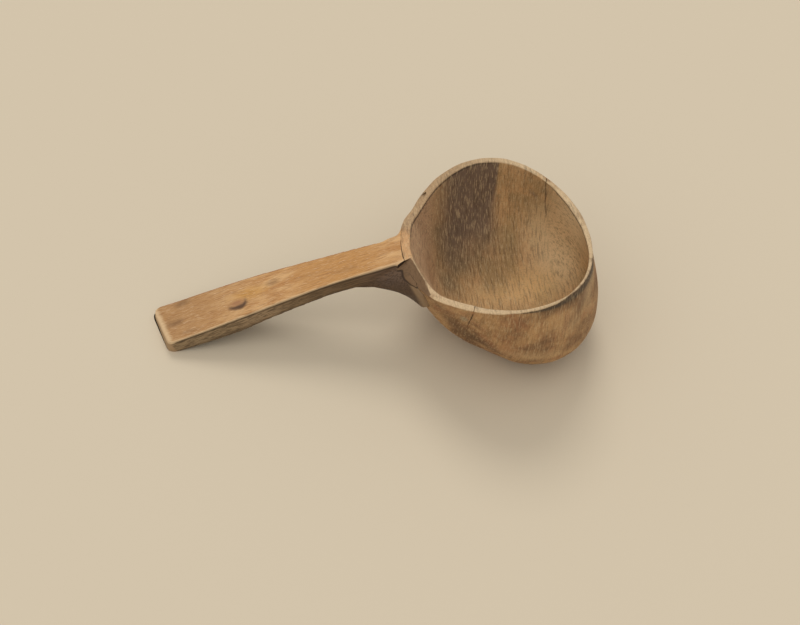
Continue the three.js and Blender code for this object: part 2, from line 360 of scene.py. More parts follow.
# %% Build the two shells and join them
RIM_EDGE_ROUNDING = 0.7
RIM_EDGE_SEGMENTS = 3

bowl_bm = bmesh.new()
half_shell(bowl_bm, outer_wall)
outer_tree = BVHTree.FromBMesh(bowl_bm)
inner_shell = half_shell(bowl_bm, inner_wall)
bmesh.ops.reverse_faces(bowl_bm, faces=faces_of(inner_shell))
rim_edges = open_edges(bowl_bm)
bmesh.ops.bridge_loops(bowl_bm, edges=rim_edges)
bmesh.ops.bevel(
    bowl_bm,
    geom=rim_edges,
    offset=RIM_EDGE_ROUNDING,
    segments=RIM_EDGE_SEGMENTS,
    profile=0.5,
    affect="EDGES",
    material=-1,
)
print("bowl shell:", len(bowl_bm.faces), "faces, open edges:", len(open_edges(bowl_bm)))

# %% [markdown]
# Marks of the blade on the bowl
#
# A hook-shaped blade leaves shallow scoops, and an old bowl has also warped a little as it
# dried. Both are moves along the normals. A slow noise bends the walls, and cells of a Voronoi
# pattern give the scoops, each deepest in its middle, with a low ridge where two cuts meet.

# %% Move the bowl's points along their normals
WARP_HEIGHT = 0.35
WARP_WIDTH = 34
SCOOP_DEPTH = 0.22
SCOOP_WIDTH = 11
SCOOP_STRETCH = 0.45
SCOOP_HOLLOW = 2.2


def scoop(place, width, depth, stretch):
    """How far a blade has cut below the surface at a place, deepest in the middle of a cut."""
    cell = Vector((place.x, place.y, place.z * stretch)) / width
    nearest = noise.voronoi(cell)[0][0]
    return -depth * max(1 - SCOOP_HOLLOW * nearest * nearest, 0)


bowl_bm.normal_update()
for vertex in bowl_bm.verts:
    warp = WARP_HEIGHT * noise.noise(vertex.co / WARP_WIDTH)
    cut = scoop(vertex.co, SCOOP_WIDTH, SCOOP_DEPTH, SCOOP_STRETCH)
    vertex.co += vertex.normal * (warp + cut)
bowl = make_object(bowl_bm, "ladle_bowl")

# %% [markdown]
# The handle's slab
#
# The handle is a flat slab that slopes down to the table. It widens to the tip in a slow curve
# on the near side and sooner on the far side, and its end is cut askew. Its underside swells
# near the tip. A grid is extruded downwards, and each point is moved by functions of how far
# along the handle it is.

# %% Where the handle lies
HANDLE_LENGTH = 141.5
HANDLE_THICKNESS = 9.2
HEAD_STEP = 0.25

slope = math.asin((head_top.z - HEAD_STEP + FOOT_CUT) / math.hypot(HANDLE_LENGTH, HANDLE_THICKNESS))
slope -= math.atan2(HANDLE_THICKNESS, HANDLE_LENGTH)
handle_frame = (
    Matrix.Translation((head_top.x, 0, head_top.z - HEAD_STEP))
    @ Matrix.Rotation(-slope, 4, "Y")
    @ Matrix.Rotation(math.pi, 4, "Z")
)
print("the handle slopes by", round(math.degrees(slope), 1), "degrees")

# %% Width and thickness of the slab
NEAR_NECK = 9
NEAR_FLARE = 7
NEAR_FLARE_START = 35
NEAR_FLARE_END = 150
FAR_NECK = 10.3
FAR_FLARE = 5.9
FAR_FLARE_END = 100
SWELLING_PLACE = 103
SWELLING_DEPTH = 1.5
SWELLING_LENGTH = 20


def half_width(along, near):
    """Half width of the slab at a distance from the head, on the near or the far side."""
    if near:
        return NEAR_NECK + NEAR_FLARE * smooth_step(along, NEAR_FLARE_START, NEAR_FLARE_END)
    share = min(max(along / FAR_FLARE_END, 0), 1)
    return FAR_NECK + FAR_FLARE * math.sin(share * math.pi / 2)


def thickness(along):
    """Thickness of the slab at a distance from the head."""
    away = (along - SWELLING_PLACE) / SWELLING_LENGTH
    return HANDLE_THICKNESS + SWELLING_DEPTH * math.exp(-away ** 2)


print("the slab is", NEAR_NECK + FAR_NECK, "mm wide at its neck")

# %% Points of the slab
TIP_SKEW = 12.5
TIP_NEAR_RADIUS = 3
TIP_FAR_RADIUS = 6
END_SLANT = 5
END_SLANT_START = 0.9
SLAB_START = 6
SLAB_STEPS_LONG = 150
SLAB_STEPS_WIDE = 28


def rounded_corner(along, across, end, half, radius):
    """Pull a point of the square tip corner onto a round one."""
    ahead = (along - (end - radius)) / radius
    aside = (abs(across) - (half - radius)) / radius
    if ahead <= 0 or aside <= 0:
        return along, across
    pull = radius * max(ahead, aside) / math.hypot(ahead, aside)
    return end - radius + ahead * pull, math.copysign(half - radius + aside * pull, across)


def slab_point(length_share, width_share, lower):
    """Point of the slab in the handle's frame: x from the head to the tip, y to the near side."""
    near = width_share > 0
    end = HANDLE_LENGTH + TIP_SKEW * (1 - width_share) / 2
    along = SLAB_START + (end - SLAB_START) * length_share
    half = half_width(along, near)
    across = half * width_share
    radius = TIP_NEAR_RADIUS if near else TIP_FAR_RADIUS
    along, across = rounded_corner(along, across, end, half, radius)
    if lower:
        along += END_SLANT * smooth_step(length_share, END_SLANT_START, 1)
        return Vector((along, across, -thickness(along)))
    return Vector((along, across, 0))


print("the tip's far corner is", TIP_SKEW, "mm further out than its near one")

# %% [markdown]
# The handle's root
#
# The handle spreads on the bowl's end wall like a leaf: full behind the handle, and fading to
# a low lip at its edge. A flat grid is extruded to a slab and wrapped onto the wall, so that its
# back lies in the wall and its front stands out. The same function with a small gap all round
# makes the cutter for the housing that the leaf sits in. The root itself is made a little too
# wide, by as much as the smoothing takes off later.

# %% Outline of the leaf
NEAR_LEAF_ANGLE = math.radians(29)
NEAR_LEAF_DROP = 6
NEAR_LEAF_END = 9
FAR_LEAF_ANGLE = math.radians(39)
FAR_LEAF_DROP = 12
FAR_LEAF_END = 2.4
LEAF_HEIGHT = 33
LEAF_POWER = 0.8


def leaf_edges(share):
    """Angle from the handle's middle and depth of both edges, share being -1 far to 1 near."""
    half, drop, end = FAR_LEAF_ANGLE, FAR_LEAF_DROP, FAR_LEAF_END
    if share > 0:
        half, drop, end = NEAR_LEAF_ANGLE, NEAR_LEAF_DROP, NEAR_LEAF_END
    fullness = math.cos(share * math.pi / 2) ** LEAF_POWER
    high = drop * smooth_step(half * abs(share), HEAD_HALF_ANGLE, half)
    low = drop + end + (LEAF_HEIGHT - drop - end) * fullness
    return half * share, high, low


print("the leaf is", round(2 * BOWL_HALF_WIDTH * math.sin(FAR_LEAF_ANGLE)), "mm wide at most")

# %% How far the root stands out
ROOT_REACH = 30
ROOT_NEAR_FADE = 6.5
ROOT_FAR_FADE = 2.2
ROOT_UNDER_FADE = 8.2
NEAR_EAR_WIDTH = 1.6
NEAR_EAR_START = 5.5
NEAR_EAR_END = 3.5
FAR_EAR_WIDTH = 1.8
FAR_EAR_START = 11
FAR_EAR_END = 7
NEAR_SPREAD_START = 2
NEAR_SPREAD_END = 14
FAR_SPREAD_END = 7


def ear_reach(offset, width, start, end):
    """How far an ear stands out of the wall, at an offset beyond the neck's side."""
    if offset <= 0:
        return ROOT_REACH
    return start - (start - end) * offset / width if offset < width else 0


def root_height(side, below):
    """How far the root stands out over its lip, side being negative on the near side."""
    if side < 0:
        offset = -side - NEAR_NECK
        ear = ear_reach(offset, NEAR_EAR_WIDTH, NEAR_EAR_START, NEAR_EAR_END)
        aside = max(offset, 0) / ROOT_NEAR_FADE
        low_share = smooth_step(below, NEAR_SPREAD_START, NEAR_SPREAD_END)
    else:
        offset = side - FAR_NECK
        ear = ear_reach(offset, FAR_EAR_WIDTH, FAR_EAR_START, FAR_EAR_END)
        aside = max(offset, 0) / ROOT_FAR_FADE
        low_share = smooth_step(below, 0, FAR_SPREAD_END)
    under = max(below - HANDLE_THICKNESS, 0) / ROOT_UNDER_FADE
    spread = ROOT_REACH * math.exp(-math.hypot(aside, under))
    return ear * (1 - low_share) + spread * low_share


print("below the handle the root stands out by", round(root_height(0, HANDLE_THICKNESS)), "mm and fades")

# %% Wrap a leaf onto the end wall
LEAF_LIP = 0.4
LEAF_STEPS_ROUND = 120
LEAF_STEPS_DOWN = 56

along_handle = Vector((-math.cos(slope - REST_TILT), 0, -math.sin(slope - REST_TILT)))


def extruded(bm, points):
    """Extrude the faces of some vertices and give back the new vertices."""
    raised = bmesh.ops.extrude_face_region(bm, geom=faces_of(points))
    return [item for item in raised["geom"] if isinstance(item, bmesh.types.BMVert)]


def leaf(bm, inside, outside, grow):
    """Add a leaf that reaches into the wall by inside and out of it by what outside gives."""
    made = bmesh.ops.create_grid(bm, x_segments=LEAF_STEPS_ROUND, y_segments=LEAF_STEPS_DOWN, size=1)
    back = made["verts"]
    front = extruded(bm, back)
    for stands_out, points in ((False, back), (True, front)):
        for vertex in points:
            away, high, low = leaf_edges(vertex.co.x)
            away += grow / BOWL_HALF_LENGTH * vertex.co.x
            below = (high - grow) + (low - high + 2 * grow) * (1 - vertex.co.y) / 2
            sink = max(below, 0) / BOWL_DEPTH
            wall = outer_wall(math.pi + away, share_at(sink), sink)
            wall.z -= min(below, 0)
            out = Vector((
                math.cos(math.pi + away) * BOWL_HALF_WIDTH,
                math.sin(math.pi + away) * BOWL_HALF_LENGTH,
                0,
            )).normalized()
            if stands_out:
                vertex.co = rest @ (wall + out * LEAF_LIP + along_handle * outside(wall.y, below))
            else:
                vertex.co = rest @ (wall - out * inside)
    bmesh.ops.recalc_face_normals(bm, faces=bm.faces)


print("the leaf's grid has", LEAF_STEPS_ROUND, "by", LEAF_STEPS_DOWN, "faces")

# %% Build the root and level its top
HOUSING_DEPTH = 0.8
ROOT_SWELLING = 0.2

handle_bm = bmesh.new()
leaf(handle_bm, HOUSING_DEPTH, root_height, ROOT_SWELLING)
top_place = handle_frame @ Vector((0, 0, 0))
top_facing = handle_frame.to_3x3() @ Vector((0, 0, 1))
bmesh.ops.bisect_plane(
    handle_bm,
    geom=[*handle_bm.verts, *handle_bm.edges, *handle_bm.faces],
    plane_co=top_place,
    plane_no=top_facing,
    clear_outer=True,
)
bmesh.ops.holes_fill(handle_bm, edges=open_edges(handle_bm), sides=0)
print("root:", len(handle_bm.faces), "faces, open edges:", len(open_edges(handle_bm)))

# %% Add the slab
slab_top = bmesh.ops.create_grid(
    handle_bm,
    x_segments=SLAB_STEPS_LONG,
    y_segments=SLAB_STEPS_WIDE,
    size=1,
)["verts"]
slab_bottom = extruded(handle_bm, slab_top)
for lower, points in ((False, slab_top), (True, slab_bottom)):
    for vertex in points:
        vertex.co = handle_frame @ slab_point((vertex.co.x + 1) / 2, vertex.co.y, lower)
bmesh.ops.recalc_face_normals(handle_bm, faces=handle_bm.faces)
print("root and slab:", len(handle_bm.faces), "faces, open edges:", len(open_edges(handle_bm)))

# %% [markdown]
# One skin for the handle
#
# The root and the slab were one piece of wood, so they become one skin. A voxel remesh joins
# them and rounds each edge a little, as years of use do. A few rounds of smoothing take out the
# small steps that the voxels leave. Then the knife's long flat cuts go into the sides and the
# underside, while the top stays flatter, because the hand has worn it.

# %% Join the root and the slab and settle the skin
VOXEL = 0.55
SETTLING_ROUNDS = 5
SETTLING_FACTOR = 0.5

rough_handle = make_object(handle_bm, "roughed out handle")
remesh = rough_handle.modifiers.new("one skin", "REMESH")
remesh.mode = "VOXEL"
remesh.voxel_size = VOXEL * MM
apply_modifiers(rough_handle)

handle_bm = bmesh_of(rough_handle)
bpy.data.objects.remove(rough_handle)
for _ in range(SETTLING_ROUNDS):
    bmesh.ops.smooth_vert(
        handle_bm,
        verts=handle_bm.verts,
        factor=SETTLING_FACTOR,
        use_axis_x=True,
        use_axis_y=True,
        use_axis_z=True,
    )
print("the skin has", len(handle_bm.faces), "faces")

# %% Carve the handle
HANDLE_WARP_HEIGHT = 0.35
HANDLE_WARP_WIDTH = 30
KNIFE_CUT_DEPTH = 0.3
KNIFE_CUT_WIDTH = 9
KNIFE_CUT_STRETCH = 0.3
TOP_CUT_SHARE = 0.25

handle_bm.normal_update()
into_handle = handle_frame.inverted()
for vertex in handle_bm.verts:
    place = into_handle @ vertex.co
    upward_share = max((into_handle.to_3x3() @ vertex.normal).z, 0)
    warp = HANDLE_WARP_HEIGHT * noise.noise(place / HANDLE_WARP_WIDTH)
    cut_share = 1 - (1 - TOP_CUT_SHARE) * upward_share
    stretched = Vector((place.x * KNIFE_CUT_STRETCH, place.y, place.z))
    cut = scoop(stretched, KNIFE_CUT_WIDTH, KNIFE_CUT_DEPTH, 1)
    vertex.co += vertex.normal * (warp + cut_share * cut)
    vertex.co.z = max(vertex.co.z, 0)
handle = make_object(handle_bm, "ladle_handle")

# %% [markdown]
# Cuts into the bowl
#
# Three kinds of cut are made with the Boolean modifier, as a maker would make them with a blade:
# the housing that the handle's root sits in, the slanting facet pared off the rim beside the
# handle, and the cracks and nicks of age. The facet also takes a corner off the handle's head,
# so it is cut out of both pieces. A crack's cutter is a thin wedge, drawn along a few places of
# the picture and swept from one to the next.

# %% Cut and look up a surface
def cut_with(target, cutter):
    """Cut one object out of another and remove the cutter."""
    boolean = target.modifiers.new("cut", "BOOLEAN")
    boolean.operation = "DIFFERENCE"
    boolean.solver = "MANIFOLD"
    boolean.object = cutter
    before = len(target.data.polygons)
    apply_modifiers(target)
    target.data.set_sharp_from_angle(angle=CREASE_ANGLE)
    print("cut", cutter.name, ":", before, "to", len(target.data.polygons), "faces")
    bpy.data.objects.remove(cutter)


def tree_of(source):
    """Search tree over an object's surface, in millimetres."""
    bm = bmesh_of(source)
    tree = BVHTree.FromBMesh(bm)
    bm.free()
    return tree


print("ready to cut")

# %% A cutter for a crack
CRACK_PROUD = 0.8


def crack_cutter(stations, name):
    """Wedge swept along stations of (place, way out of the wood, width, depth)."""
    bm = bmesh.new()
    section = []
    for number, (place, out, width, depth) in enumerate(stations):
        before = stations[max(number - 1, 0)][0]
        after = stations[min(number + 1, len(stations) - 1)][0]
        aside = (after - before).cross(out).normalized() * width / 2
        left = place + out * CRACK_PROUD + aside
        right = place + out * CRACK_PROUD - aside
        deep = place - out * depth
        if not section:
            section = [bm.verts.new(corner) for corner in (left, right, deep)]
            end = bm.faces.new(section)
            continue
        grown = bmesh.ops.extrude_face_region(bm, geom=[end])
        # The first section closes the wedge, and each later one is left inside it
        if number > 1:
            bmesh.ops.delete(bm, geom=[end], context="FACES_ONLY")
        end = next(item for item in grown["geom"] if isinstance(item, bmesh.types.BMFace))
        for vertex, corner in zip(end.verts, (left, right, deep)):
            vertex.co = corner
    bmesh.ops.recalc_face_normals(bm, faces=bm.faces)
    return make_object(bm, name)


print("a crack's cutter stands", CRACK_PROUD, "mm out of the wood")

# %% Cut the housing for the root
JOINT_GAP = 0.15


def housing_front(side, below):
    """The housing's cutter stands out of the wall by the same amount everywhere."""
    return HOUSING_DEPTH


housing_bm = bmesh.new()
leaf(housing_bm, HOUSING_DEPTH, housing_front, JOINT_GAP)
cut_with(bowl, make_object(housing_bm, "housing cutter"))

# %% Place the facet beside the handle
FACET_START = math.radians(7)
FACET_END = math.radians(35.5)
FACET_INSET = 0.8
FACET_LEAN = math.radians(40)
FACET_HEAD_LEAN = math.radians(58)
FACET_TWIST_POWER = 3


def facet_lean(share):
    """Lean of the facet at a share of its length, from the head end."""
    return FACET_LEAN + (FACET_HEAD_LEAN - FACET_LEAN) * (1 - share) ** FACET_TWIST_POWER


facet_start = rest @ inner_wall(math.pi + FACET_START, 1, 0)
facet_end = rest @ inner_wall(math.pi + FACET_END, 1, 0)
facet_run = facet_end - facet_start
facet_place = (
    Matrix.Translation(facet_start)
    @ Matrix.Rotation(math.atan2(facet_run.x, -facet_run.y), 4, "Z")
    @ Matrix.Translation((-FACET_INSET, 0, 0))
)
facet_length = math.hypot(facet_run.x, facet_run.y)
print("the facet is", round(facet_length, 1), "mm long")

# %% Cut the facet
FACET_REACH = 40
FACET_CUTS = 24
FACET_WAVE = 0.25
FACET_WAVE_WIDTH = 9

facet_size = (FACET_REACH, facet_length, 2 * FACET_REACH)
for piece in (bowl, handle):
    facet_bm = bmesh.new()
    bmesh.ops.create_cube(facet_bm, size=1)
    bmesh.ops.subdivide_edges(facet_bm, edges=facet_bm.edges, cuts=FACET_CUTS, use_grid_fill=True)
    # One corner of the unit cube goes to the facet's start
    bmesh.ops.translate(facet_bm, vec=(-1 / 2, -1 / 2, 0), verts=facet_bm.verts)
    bmesh.ops.scale(facet_bm, vec=facet_size, verts=facet_bm.verts)
    for vertex in facet_bm.verts:
        vertex.co.x += FACET_WAVE * noise.noise(vertex.co / FACET_WAVE_WIDTH)
        vertex.co = Matrix.Rotation(facet_lean(-vertex.co.y / facet_length), 3, "Y") @ vertex.co
    bmesh.ops.transform(facet_bm, matrix=facet_place, verts=facet_bm.verts)
    cut_with(piece, make_object(facet_bm, "facet cutter"))

# %% [markdown]
# Cracks and a chip
#
# Old wood splits where it dries fastest. One crack crosses the near rim and runs down the
# outside, and a finer one notches the far rim and runs down the inside. A chip has gone from
# the outer edge of the rim. Each starts from a place in the picture, which a line of sight
# turns into a place on the wood.

# %% Cut the two cracks
# Each row is the place in the picture, then the crack's width and its depth in millimetres
NEAR_CRACK = (
    ((474.5, 308.5), 0.35, 1.8),
    ((474, 311), 0.35, 1.8),
    ((473, 314), 0.4, 1.6),
    ((471.5, 318), 0.35, 1.2),
    ((469.5, 322), 0.3, 0.9),
    ((467.5, 326), 0.2, 0.6),
    ((466.5, 331), 0.15, 0.3),
)
FAR_CRACK = (
    ((546.5, 180.5), 1.0, 1.8),
    ((546, 183), 0.6, 1.4),
    ((545.7, 187), 0.4, 1.0),
    ((545.7, 193), 0.3, 0.8),
    ((545.6, 200), 0.25, 0.7),
    ((545.5, 207), 0.2, 0.5),
    ((545.7, 214), 0.12, 0.2),
)
CRACK_START = 2.5


def crack_stations(tree, rows):
    """Stations of a crack from its rows, started a little before the first."""
    stations = []
    for (across, down), width, depth in rows:
        place, facing = seen_at(tree, across, down)
        stations.append((place, facing, width, depth))
    first, second = stations[0], stations[1]
    start = first[0] + (first[0] - second[0]).normalized() * CRACK_START
    return [(start, *first[1:]), *stations]


bowl_tree = tree_of(bowl)
near_crack = crack_stations(bowl_tree, NEAR_CRACK)
far_crack = crack_stations(bowl_tree, FAR_CRACK)
cut_with(bowl, crack_cutter(near_crack, "near crack cutter"))
cut_with(bowl, crack_cutter(far_crack, "far crack cutter"))

# %% Cut the chip
CHIP_PLACE = (424, 194.5)
CHIP_SIZE = (4, 0.7, 0.6)

chip_centre, _ = seen_at(bowl_tree, *CHIP_PLACE)
chip_bm = bmesh.new()
bmesh.ops.create_icosphere(chip_bm, subdivisions=3, radius=1)
bmesh.ops.scale(chip_bm, vec=CHIP_SIZE, verts=chip_bm.verts)
chip_turn = math.atan2(chip_centre.y, chip_centre.x) + math.pi / 2
bmesh.ops.rotate(chip_bm, matrix=Matrix.Rotation(chip_turn, 3, "Z"), verts=chip_bm.verts)
bmesh.ops.translate(chip_bm, vec=chip_centre, verts=chip_bm.verts)
cut_with(bowl, make_object(chip_bm, "chip cutter"))

# %% [markdown]
# What the materials need to know
#
# A material can read numbers that are stored on the points of a mesh. Both pieces store their
# distance from the pared facet. The bowl also stores how deep a point lies under the rim, how far
# through the wall it is, from 0 outside to 1 inside, and how far it is from a crack. The handle
# stores which way a point faces, how far it is from the top, from its edges and from the bowl's
# wall. Distances in millimetres change evenly from point to point, so a material can draw a thin
# line from them.

# %% Measure the places on the wood
FAR_OFF = 50
FACET_END_SHARE = 0.005


def store(target, name, values):
    """Store one number for each point of a mesh."""
    attribute = target.data.attributes.new(name, "FLOAT", "POINT")
    attribute.data.foreach_set("value", values)


def through_wall(place):
    """0 on the outside of the wall and 1 on its inside."""
    gap_outside = outer_tree.find_nearest(place)[3]
    gap_inside = inner_tree.find_nearest(place)[3]
    return gap_outside / (gap_outside + gap_inside)


def from_facet(place):
    """Depth under the facet's surface, below 0 on the step at its head end."""
    local = into_facet @ place
    along = -local.y / facet_length
    if not -FACET_END_SHARE < along < 1 + FACET_END_SHARE:
        return FAR_OFF
    lean = facet_lean(min(max(along, 0), 1))
    return local.x * math.cos(lean) - local.z * math.sin(lean)


def from_crack(place):
    """Distance from the nearest crack's line."""
    gaps = [FAR_OFF]
    for stations in (near_crack, far_crack):
        for first, second in zip(stations, stations[1:]):
            nearest, share = intersect_point_line(place, first[0], second[0])
            gaps.append((place - (nearest if 0 < share < 1 else second[0])).length)
    return min(gaps)


def below_rim(place):
    """Depth of a place under the rim's edge, square to the rim's middle plane."""
    local = into_bowl @ place
    angle = math.atan2(local.y / BOWL_HALF_WIDTH, local.x / BOWL_HALF_LENGTH)
    return rim_height(angle) - local.z


inner_bm = bmesh.new()
half_shell(inner_bm, inner_wall)
inner_tree = BVHTree.FromBMesh(inner_bm)
inner_bm.free()
into_bowl = rest.inverted()
into_facet = facet_place.inverted()
print("the crack starts", round(below_rim(near_crack[1][0]), 1), "mm under the rim")

# %% Store the bowl's numbers
for vertex in bowl.data.vertices:
    vertex.co.z = max(vertex.co.z, 0)
bowl_places = [vertex.co / MM for vertex in bowl.data.vertices]
store(bowl, "under_rim", [below_rim(place) for place in bowl_places])
store(bowl, "inside", [through_wall(place) for place in bowl_places])
store(bowl, "from_facet", [from_facet(place) for place in bowl_places])
store(bowl, "from_crack", [from_crack(place) for place in bowl_places])
print("numbers stored on", len(bowl_places), "points of the bowl")

# %% Store the handle's numbers
def end_distance(place):
    """Distance from the skewed tip, of a place in the handle's frame."""
    half = half_width(place.x, place.y > 0)
    return HANDLE_LENGTH + TIP_SKEW * (1 - place.y / half) / 2 - place.x


handle_turn = into_handle.to_3x3()
handle_places = [vertex.co / MM for vertex in handle.data.vertices]
flat_places = [into_handle @ place for place in handle_places]
store(handle, "faces_up", [(handle_turn @ vertex.normal).z for vertex in handle.data.vertices])
store(handle, "from_end", [end_distance(place) for place in flat_places])
store(handle, "from_side", [half_width(place.x, place.y > 0) - abs(place.y) for place in flat_places])
store(handle, "below_top", [-place.z for place in flat_places])
store(handle, "from_facet", [from_facet(place) for place in handle_places])
store(handle, "from_wall", [outer_tree.find_nearest(place)[3] for place in handle_places])
print("numbers stored on", len(handle_places), "points of the handle")

# %% [markdown]
# Tools for the materials
#
# A colour is written as the hex value that one would pick from a screen, and one function turns
# it to the linear value that the shader wants. A second function adds a node, sets it up and
# links it. Everything else is built from these two: a pattern of noise stretched along the
# grain, a mask that says where a finish shows, and a coat of colour laid over what lies below.

# %% Colours and nodes
def linear(hex_colour):
    """Linear colour with full alpha from a hex value such as #C2986B, by the sRGB curve."""
    channels = []
    for start in (1, 3, 5):
        value = int(hex_colour[start:start + 2], 16) / 255
        channels.append(value / 12.92 if value <= 0.04045 else ((value + 0.055) / 1.055) ** 2.4)
    return (*channels, 1)


def add_node(tree, kind, settings, links):
    """Add a node, set its properties, and give its sockets values or links."""
    made = tree.nodes.new(kind)
    for name, value in settings.items():
        setattr(made, name, value)
    for name, value in links.items():
        if isinstance(value, bpy.types.NodeSocket):
            tree.links.new(value, made.inputs[name])
        else:
            made.inputs[name].default_value = value
    return made


print("the mid grey #808080 is", round(linear("#808080")[0], 3), "in linear light")

# %% Masks and coats
def mask(tree, *parts):
    """Product of some parts, each of them a number, an output or a range.

    A range is (value, low, high), rising smoothly from 0 to 1 while the value goes from low to
    high, or (value, low, high, start, end), going from start to end.
    """
    result = None
    for part in parts:
        if isinstance(part, tuple):
            value, low, high, start, end = (*part, 0, 1)[:5]
            settings = {"interpolation_type": "SMOOTHSTEP"}
            links = {"Value": value, "From Min": low, "From Max": high, "To Min": start, "To Max": end}
            part = add_node(tree, "ShaderNodeMapRange", settings, links).outputs[0]
        if result is not None:
            links = {0: result, 1: part}
            part = add_node(tree, "ShaderNodeMath", {"operation": "MULTIPLY"}, links).outputs[0]
        result = part
    return result


def stripe(value, start, end, soft):
    """Two ranges of a mask that shows while a value lies between start and end."""
    return (value, start - soft, start), (value, end, end + soft, 1, 0)


def coat(tree, under, over, *parts):
    """Lay one colour over another where a mask of some parts lets it show."""
    under, over = (linear(colour) if isinstance(colour, str) else colour for colour in (under, over))
    links = {0: mask(tree, *parts), 6: under, 7: over}
    return add_node(tree, "ShaderNodeMix", {"data_type": "RGBA"}, links).outputs[2]


print("masks and coats are ready")

# %% Patterns and places
def pattern(tree, place, size, detail, roughness):
    """Noise from 0 to 1 with features of a given size in millimetres along x, y and z."""
    scale = [1 / (length * MM) for length in size]
    stretched = add_node(tree, "ShaderNodeMapping", {}, {"Vector": place, "Scale": scale})
    links = {"Vector": stretched.outputs[0], "Scale": 1, "Detail": detail, "Roughness": roughness}
    return add_node(tree, "ShaderNodeTexNoise", {}, links).outputs[0]


def in_millimetres(tree, place):
    """The three coordinates of a place, turned from metres to millimetres."""
    scaled = add_node(tree, "ShaderNodeVectorMath", {"operation": "SCALE"}, {0: place, "Scale": 1 / MM})
    return add_node(tree, "ShaderNodeSeparateXYZ", {}, {0: scaled.outputs[0]}).outputs


def wandering(tree, place, width, reach, detail):
    """The place moved about by noise, so that spots get uneven edges."""
    links = {"Vector": place, "Scale": 1 / (width * MM), "Detail": detail}
    cloud = add_node(tree, "ShaderNodeTexNoise", {}, links).outputs["Color"]
    middle = (0.5, 0.5, 0.5)
    centred = add_node(tree, "ShaderNodeVectorMath", {"operation": "SUBTRACT"}, {0: cloud, 1: middle})
    links = {0: centred.outputs[0], 1: [2 * reach * MM] * 3, 2: place}
    return add_node(tree, "ShaderNodeVectorMath", {"operation": "MULTIPLY_ADD"}, links).outputs[0]


print("patterns and places are ready")

# %% Spots and uneven edges
NOISE_LOW = 0.3
NOISE_HIGH = 0.7


def spot(tree, place, centre, size, soft):
    """1 in an oval spot given in millimetres, falling softly to 0 at its edge."""
    result = place
    for operation, sizes in (("SUBTRACT", centre), ("DIVIDE", size)):
        links = {0: result, 1: [value * MM for value in sizes]}
        result = add_node(tree, "ShaderNodeVectorMath", {"operation": operation}, links).outputs[0]
    far = add_node(tree, "ShaderNodeVectorMath", {"operation": "LENGTH"}, {0: result}).outputs["Value"]
    return mask(tree, (far, 1 - soft, 1, 1, 0))


def uneven(tree, distance, waves, reach):
    """A distance that wavers by reach millimetres, so that an edge drawn from it does too."""
    waver = mask(tree, (waves, NOISE_LOW, NOISE_HIGH, -reach, reach))
    return add_node(tree, "ShaderNodeMath", {"operation": "ADD"}, {0: distance, 1: waver}).outputs[0]


def lay_marks(tree, colour, place, find, marks, soft):
    """Lay spots of (place in the picture, size in millimetres, colour, share) over a colour."""
    for seen, size, mark_colour, share in marks:
        colour = coat(tree, colour, mark_colour, spot(tree, place, find(*seen), size, soft), share)
    return colour


print("spots and uneven edges are ready")

# %% Start and finish of a wood
WOOD_IOR = 1.5
WOOD_SPECULAR = 0.25
GRAIN_DEPTH = 0.25


def new_wood(name, roughness, numbers):
    """Material of wood, with its place in metres and the numbers stored on the mesh."""
    material = bpy.data.materials.new(name)
    material.use_nodes = True
    tree = material.node_tree
    shader = tree.nodes["Principled BSDF"]
    shader.inputs["Roughness"].default_value = roughness
    shader.inputs["IOR"].default_value = WOOD_IOR
    shader.inputs["Specular IOR Level"].default_value = WOOD_SPECULAR
    place = add_node(tree, "ShaderNodeTexCoord", {}, {}).outputs["Object"]
    read = [add_node(tree, "ShaderNodeAttribute", {"attribute_name": number}, {}) for number in numbers]
    return material, place, [made.outputs["Fac"] for made in read]


def finish_wood(material, colour, grain, clouds, strength, roughness):
    """Link a colour, a bump from two grain patterns and a cloudy roughness to the shader."""
    tree = material.node_tree
    shader = tree.nodes["Principled BSDF"]
    height = add_node(tree, "ShaderNodeMath", {"operation": "ADD"}, {0: grain[0], 1: grain[1]}).outputs[0]
    links = {"Height": height, "Strength": strength, "Distance": GRAIN_DEPTH * MM}
    bump = add_node(tree, "ShaderNodeBump", {}, links)
    tree.links.new(colour, shader.inputs["Base Color"])
    tree.links.new(bump.outputs[0], shader.inputs["Normal"])
    tree.links.new(mask(tree, (clouds, NOISE_LOW, NOISE_HIGH, *roughness)), shader.inputs["Roughness"])
    print(material.name, "has", len(tree.nodes), "nodes")


print("wood can be made")

# %% [markdown]
# Old handled maple
#
# The handle was cut along the grain of a close-grained wood, and never varnished. Hands have
# given its top a warm orange tan, with paler edges where the grime is rubbed off. The sides,
# the near one most, are darker: partly old dirt and partly painted shade. Wood has an IOR of
# about 1.5, but its open surface reflects weakly, so the specular level is half of the usual
# one. The roughness, from 0.5 to 0.7, is that of wood polished only by hands.
#
# The grain runs down the handle in fine broken streaks. They are drawn about half a millimetre
# wide, a little coarser than real pores, so that they show. The first number of each size lies
# along the handle.

# %% Handle: grain
HANDLE_ROUGHNESS = 0.62
HANDLE_STREAKS = {"size": (8, 0.5, 0.5), "detail": 4, "roughness": 0.6}
HANDLE_FIBRES = {"size": (3.5, 0.35, 0.35), "detail": 2, "roughness": 0.5}
HANDLE_CLOUDS = {"size": (22, 7, 7), "detail": 3, "roughness": 0.55}
HANDLE_NUMBERS = ("faces_up", "from_end", "from_side", "below_top", "from_facet", "from_wall")
NEAR_SIDE = (-2, 2)

